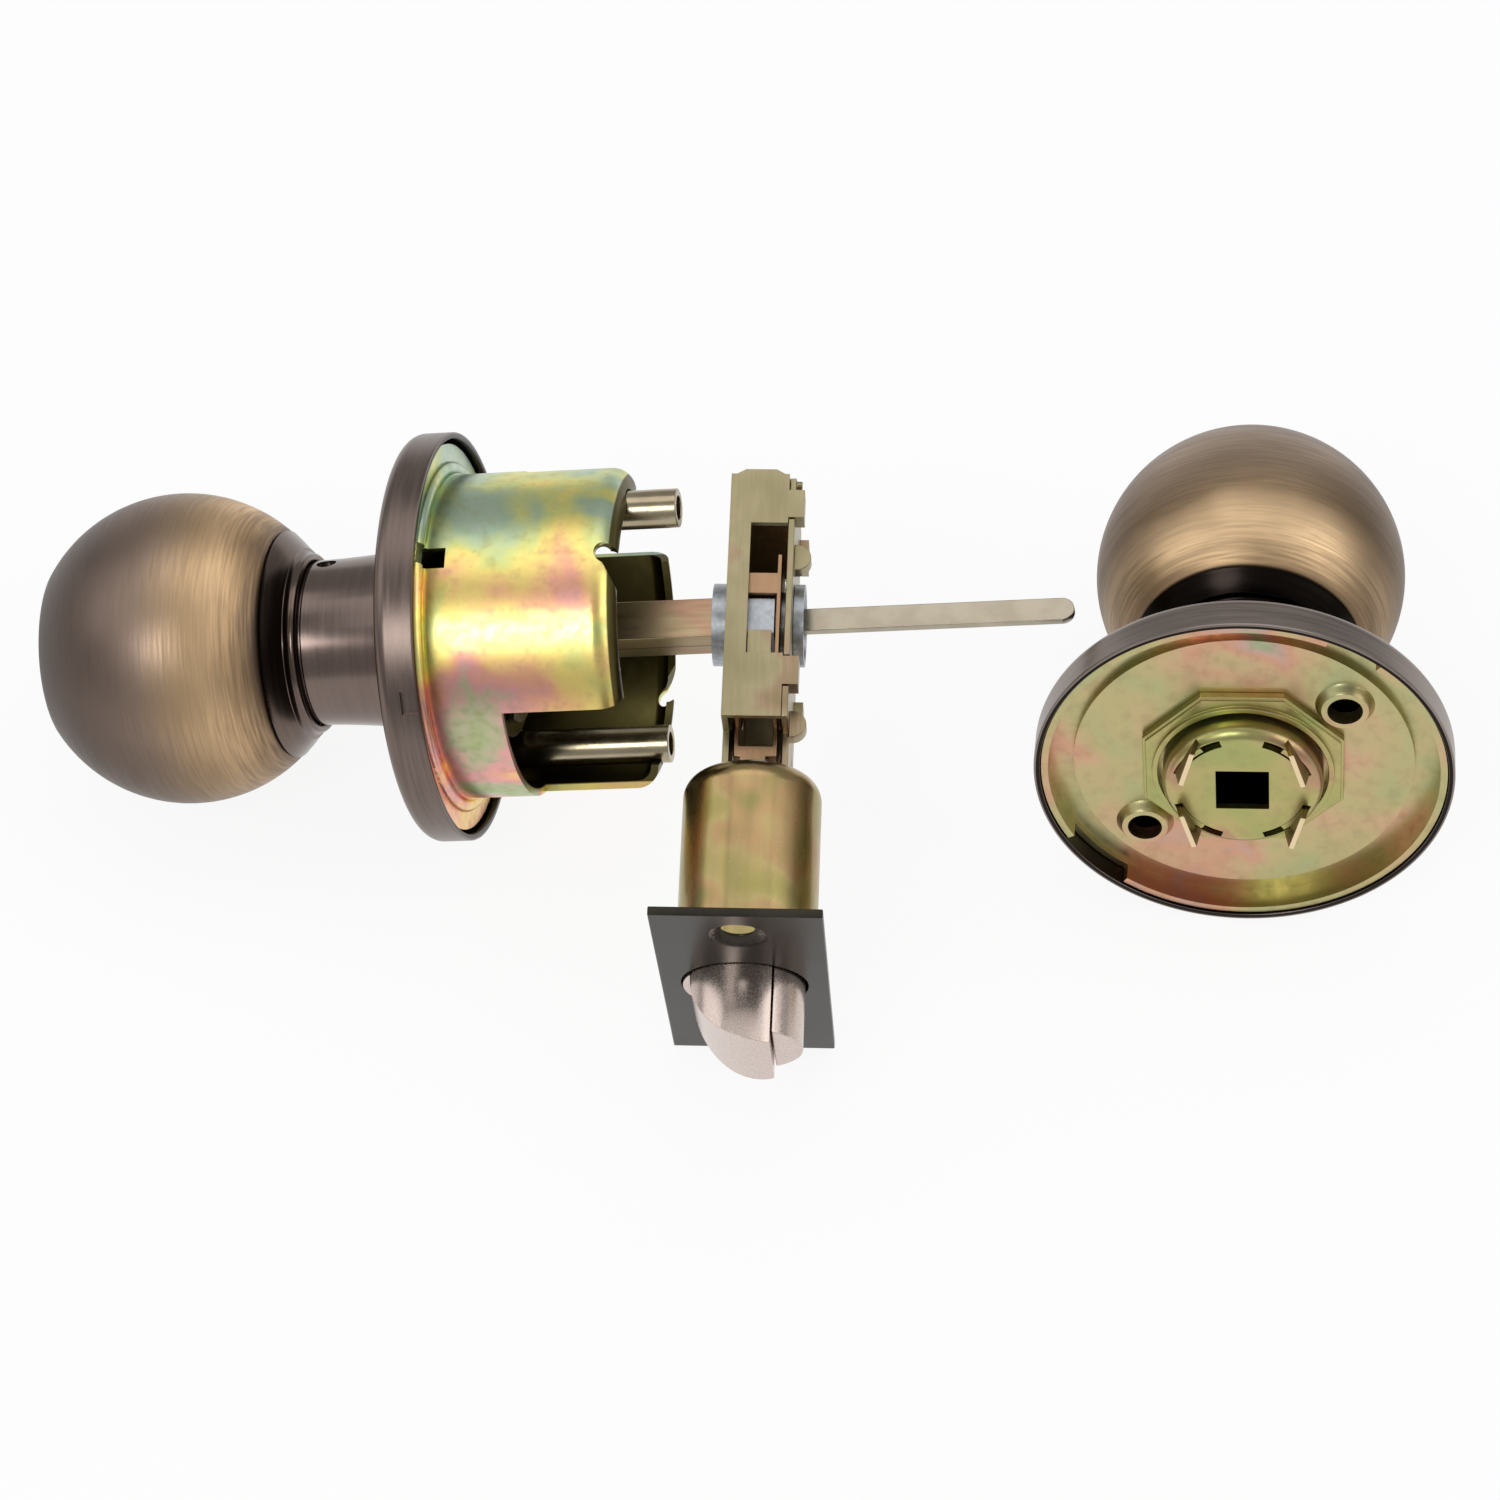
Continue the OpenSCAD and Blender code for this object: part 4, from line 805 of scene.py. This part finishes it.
class KNOB_OT_edges(bpy.types.Operator):
    """Break the edges of the pressed and cast parts, turn the lock plate to its photographed
    flats, and cut the inner sleeve's claws down to the stubs that the twisted ones stand on"""
    bl_idname = "knob.edges"
    bl_label = "Broken edges"

    def execute(self, context):
        s = context.scene.knob
        for node, slot, edge in SOFT_PARTS:
            body = frame["nodes"][node]["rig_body"]
            piece = soft_copy(node, s.cast_edge if edge == "cast" else s.press_edge)
            if node == "inner_lock_plate":
                activate(piece)
                settle(piece, INNER @ turned("Z", LOCK_PLATE_TURN) @ INNER.inverted())
            if node == "inner_sleeve":
                wide = (-SLEEVE_REACH, SLEEVE_REACH)
                above = (CLAW_FOOT + CLAW_LAP, CLAW_FOOT + 2 * CLAW_RISE)
                cut(piece, box_at(INNER, wide, wide, above))
            place_piece(piece, body, slot, node)
        return {"FINISHED"}


def claw_blade(name, way, edge):
    """Strip of sheet twisted one way or the other, standing at the origin"""
    blade = box_at(Matrix.Identity(4), (-CLAW_HALF_SHEET, CLAW_HALF_SHEET),
                   (-CLAW_HALF, CLAW_HALF), (0, CLAW_RISE))
    blade.name = blade.data.name = name
    activate(blade)
    bpy.ops.object.mode_set(mode="EDIT")
    bpy.ops.mesh.subdivide(number_cuts=7)
    bpy.ops.object.mode_set(mode="OBJECT")
    finish_modifier(blade, "SIMPLE_DEFORM", deform_method="TWIST", deform_axis="Z",
                    angle=math.radians(way * CLAW_TWIST))
    finish_modifier(blade, "BEVEL", width=edge, segments=2)
    return blade


class KNOB_OT_claws(bpy.types.Operator):
    """Four twisted claws that stand out of the retainer's slots"""
    bl_idname = "knob.claws"
    bl_label = "Twisted claws"

    def execute(self, context):
        body = frame["nodes"]["inner_sleeve"]["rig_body"]
        for number, heading in enumerate(CLAW_HEADINGS, 1):
            way = 1 if heading % 180 == 45 else -1
            blade = claw_blade("inner_claw_%d" % number, way, context.scene.knob.press_edge)
            settle(blade, INNER @ turned("Z", heading + way * CLAW_TURN)
                   @ moved(CLAW_REACH, 0, CLAW_FOOT) @ turned("Z", way * CLAW_LEAN))
            smooth(blade)
            place_piece(blade, body, "zinc")
        return {"FINISHED"}


class KNOB_OT_finishes(bpy.types.Operator):
    """Give every piece its metal"""
    bl_idname = "knob.finishes"
    bl_label = "Metal finishes"

    def execute(self, context):
        s = context.scene.knob
        # Painted shade: the outer knob is darkened underneath, the inner knob on both its sides
        outer_brass = brass_finish("outer brass", OUTER_KNOB, OUTER_TONE, under=0.5)
        inner_brass = brass_finish("inner brass", INNER_KNOB, INNER_TONE, sides=0.6)
        outer_rose = rose_finish("outer rose", OUTER, shown(s.rose_tone), shown(s.rose_lines))
        inner_rose = rose_finish("inner rose", INNER, (128, 117, 111), (146, 135, 128))
        cap = neck_finish("outer cap", OUTER_KNOB, (98, 84, 77), (114, 99, 90))
        # Painted shade: the inner cap is nearly black, standing in for shade and dark reflection
        inner_cap = neck_finish("inner cap", INNER_KNOB, (24, 20, 18), (32, 27, 24))
        neck = neck_finish("outer neck", OUTER_KNOB, (112, 98, 92), (124, 109, 102))
        # Painted shade: the inner neck is nearly black, standing in for shade and dark reflection
        inner_neck = neck_finish("inner neck", INNER_KNOB, (24, 20, 18), (32, 27, 25))
        cup = depth_finish("cup zinc", OUTER, CUP, 24.6, 40, (92, 84, 48), 1.0, 0.008)
        plate = zinc_finish("plate zinc", INNER, DULL, scale=0.055, draw=(0.5, 0.5, 0.5))
        lock = depth_finish("lock zinc", INNER, GREENISH, 11.2, 1.9, (26, 22, 14))
        khaki = zinc_finish("case zinc", CASE, KHAKI, scale=0.09, draw=(0.15, 2.5, 2.5))
        tube = zinc_finish("tube zinc", LATCH, OLIVE, scale=0.08, rough=0.22, draw=(0.1, 0.5, 0.5))
        plates = zinc_finish("retractor zinc", CASE, PINKISH, scale=0.1, draw=(0.15, 2.5, 2.5))
        # Painted shade: the inner button's stem is nearly black, standing in for a dark hollow
        hollow = plain_finish("hollow", INNER, (26, 22, 16), (34, 28, 20), 0.5)
        spindle = spindle_finish()
        post = zinc_finish("post steel", OUTER, POST, scale=0.1, rough=0.2, draw=(0.5, 0.5, 0.3))
        nickel = plain_finish("satin nickel", LATCH, shown(s.bolt_tone), shown(s.bolt_spots),
                              0.22, 3)
        face = plain_finish("face bronze", LATCH, shown(s.face_tone), shown(s.face_spots), 0.3,
                            0.1, depth=0)
        cast = plain_finish("die-cast hub", LATCH, (160, 164, 168), (182, 186, 190), 0.36, 1.2)
        steel = plain_finish("spring steel", OUTER, (140, 138, 136), (168, 166, 164), 0.3)
        key = plain_finish("cylinder brass", OUTER_KNOB, (176, 148, 100), (192, 164, 114), 0.25)
        bar = plain_finish("tail bar", OUTER, (162, 152, 134), (176, 167, 149), 0.28, 0.2)
        by_slot = {"rose": outer_rose, "zinc": cup, "khaki": khaki, "post": post,
                   "nickel": nickel, "face": face, "diecast": cast, "steel": steel,
                   "cylinder": key, "bar": bar, "brass": outer_brass, "dark_neck": cap}
        by_piece = {"inner_knob_ball": inner_brass, "inner_rose": inner_rose,
                    "inner_back_cap": inner_cap, "outer_neck": neck, "inner_neck": inner_neck,
                    "inner_liner": plate, "inner_lock_plate": lock, "inner_retainer": lock,
                    "inner_sleeve": lock, "latch_tube": tube, "spindle": spindle,
                    "inner_button": inner_brass, "inner_button_stem": hollow,
                    "retractor": plates}
        claw = claw_finish()
        by_piece.update(("inner_claw_%d" % (i + 1), claw) for i in range(len(CLAW_HEADINGS)))
        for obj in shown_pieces():
            if obj.type != "MESH":
                continue
            base = obj.name.replace("_finished", "").replace("_turned", "")
            metal = by_piece.get(base) or by_slot[slot_of(obj)]
            obj.data.materials.clear()
            obj.data.materials.append(metal)
        return {"FINISHED"}


def slot_of(obj):
    """Slot of a finished piece, or of a CAD node as its record gives it"""
    return obj["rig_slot"] if "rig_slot" in obj else NODE_SLOTS[obj.name]


# Stage: softboxes with their place and size in metres and their power in watts, and the camera
SOFTBOXES = [
    ("softbox front", (-0.46, -0.78, 1.05), (0.46, 0.46), 4.2),
    ("softbox left", (-1.0, 0.1, 0.7), (0.9, 0.9), 2.3),
    ("softbox right", (1.1, -0.1, 0.8), (0.9, 0.9), 4.0),
    ("softbox top", (0.05, 0.5, 1.2), (1.6, 0.8), 4.5),
]
LIT_MIDDLE = (45, -10, 0)
FLOOR_SIZE = 6
CAMERA_AT = (70.237, -358.838, 491.519)
CAMERA_DOWN = 55.24
CAMERA_ROLL = 0.26
CAMERA_SWING = -3.97
LENS = 92.064
SENSOR = 36


class KNOB_OT_stage(bpy.types.Operator):
    """Lay a pale floor, hang the softboxes and set the camera"""
    bl_idname = "knob.stage"
    bl_label = "Floor, light and camera"

    def execute(self, context):
        s = context.scene.knob
        deselect()
        bpy.ops.mesh.primitive_plane_add(size=FLOOR_SIZE, location=(0, 0, FLOOR_Z))
        floor = context.object
        floor.name = "floor"
        floor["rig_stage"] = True
        floor.data.materials.append(floor_material())
        world_light(context, s.fill)
        middle = Vector(LIT_MIDDLE) * MM
        for name, spot, size, power in SOFTBOXES:
            light = bpy.data.lights.new(name, "AREA")
            light.shape = "RECTANGLE"
            light.size, light.size_y = size
            light.energy = power * s.light
            lamp = bpy.data.objects.new(name, light)
            context.scene.collection.objects.link(lamp)
            lamp.location = spot
            lamp.rotation_euler = (middle - Vector(spot)).to_track_quat("-Z", "Y").to_euler()
        camera_at(context)
        return {"FINISHED"}


def floor_material():
    """White floor that mostly glows, so that it stays white, and keeps a soft shadow"""
    material = bpy.data.materials.new("floor")
    material.use_nodes = True
    tree = material.node_tree
    surface = next(n for n in tree.nodes if n.type == "BSDF_PRINCIPLED")
    surface.inputs["Base Color"].default_value = (0.9, 0.9, 0.9, 1)
    surface.inputs["Roughness"].default_value = 0.9
    surface.inputs["Specular IOR Level"].default_value = 0.0
    glow = tree.nodes.new("ShaderNodeEmission")
    glow.inputs["Color"].default_value = (1, 1, 1, 1)
    glow.inputs["Strength"].default_value = 1.0
    mix = tree.nodes.new("ShaderNodeMixShader")
    mix.inputs[0].default_value = 0.9
    output = next(n for n in tree.nodes if n.type == "OUTPUT_MATERIAL")
    tree.links.new(surface.outputs[0], mix.inputs[1])
    tree.links.new(glow.outputs[0], mix.inputs[2])
    tree.links.new(mix.outputs[0], output.inputs[0])
    return material


def world_light(context, strength):
    """Even white room, seen by the camera at full white whatever light it gives"""
    world = bpy.data.worlds.new("room")
    context.scene.world = world
    world.use_nodes = True
    tree = world.node_tree
    back = next(n for n in tree.nodes if n.type == "BACKGROUND")
    path = tree.nodes.new("ShaderNodeLightPath")
    level = tree.nodes.new("ShaderNodeMapRange")
    tree.links.new(path.outputs["Is Camera Ray"], level.inputs[0])
    level.inputs[3].default_value = strength
    level.inputs[4].default_value = 1.0
    tree.links.new(level.outputs[0], back.inputs[1])
    back.inputs[0].default_value = (1, 1, 1, 1)


def camera_at(context):
    """Camera at the photograph's place, in front of the latch and looking down"""
    down, roll, swing = (math.radians(a) for a in (CAMERA_DOWN, CAMERA_ROLL, CAMERA_SWING))
    ahead = Vector((math.sin(swing) * math.cos(down), math.cos(swing) * math.cos(down),
                    -math.sin(down)))
    flat = Vector((math.cos(swing), -math.sin(swing), 0))
    upright = flat.cross(ahead)
    right = flat * math.cos(roll) + upright * math.sin(roll)
    up = upright * math.cos(roll) - flat * math.sin(roll)
    data = bpy.data.cameras.new("camera")
    data.sensor_width = SENSOR
    data.lens = LENS
    data.clip_start = 0.01
    camera = bpy.data.objects.new("camera", data)
    context.scene.collection.objects.link(camera)
    turn = Matrix((right, up, -ahead)).transposed().to_4x4()
    turn.translation = Vector(CAMERA_AT) * MM
    camera.matrix_world = turn
    context.scene.camera = camera
    context.scene.view_settings.view_transform = "Standard"


OPERATORS = (KNOB_OT_balls, KNOB_OT_caps, KNOB_OT_necks, KNOB_OT_roses, KNOB_OT_edges,
             KNOB_OT_claws, KNOB_OT_finishes, KNOB_OT_stage)


class KNOB_PT_panel(bpy.types.Panel):
    """Lists the steps that build the scene"""
    bl_idname = "KNOB_PT_panel"
    bl_label = "Keyed door knob"
    bl_space_type = "VIEW_3D"
    bl_region_type = "UI"
    bl_category = "Knob"

    def draw(self, context):
        for name in KnobSettings.__annotations__:
            self.layout.prop(context.scene.knob, name)
        for operator in OPERATORS:
            self.layout.operator(operator.bl_idname)


CLASSES = (KnobSettings, *OPERATORS, KNOB_PT_panel)


def register():
    for item in CLASSES:
        bpy.utils.register_class(item)
    bpy.types.Scene.knob = bpy.props.PointerProperty(type=KnobSettings)


def unregister():
    del bpy.types.Scene.knob
    for item in reversed(CLASSES):
        bpy.utils.unregister_class(item)


def main():
    register()
    bpy.ops.knob.balls()
    bpy.ops.knob.caps()
    bpy.ops.knob.necks()
    bpy.ops.knob.roses()
    bpy.ops.knob.edges()
    bpy.ops.knob.claws()
    bpy.ops.knob.finishes()
    bpy.ops.knob.stage()


if __name__ == "__main__":
    main()
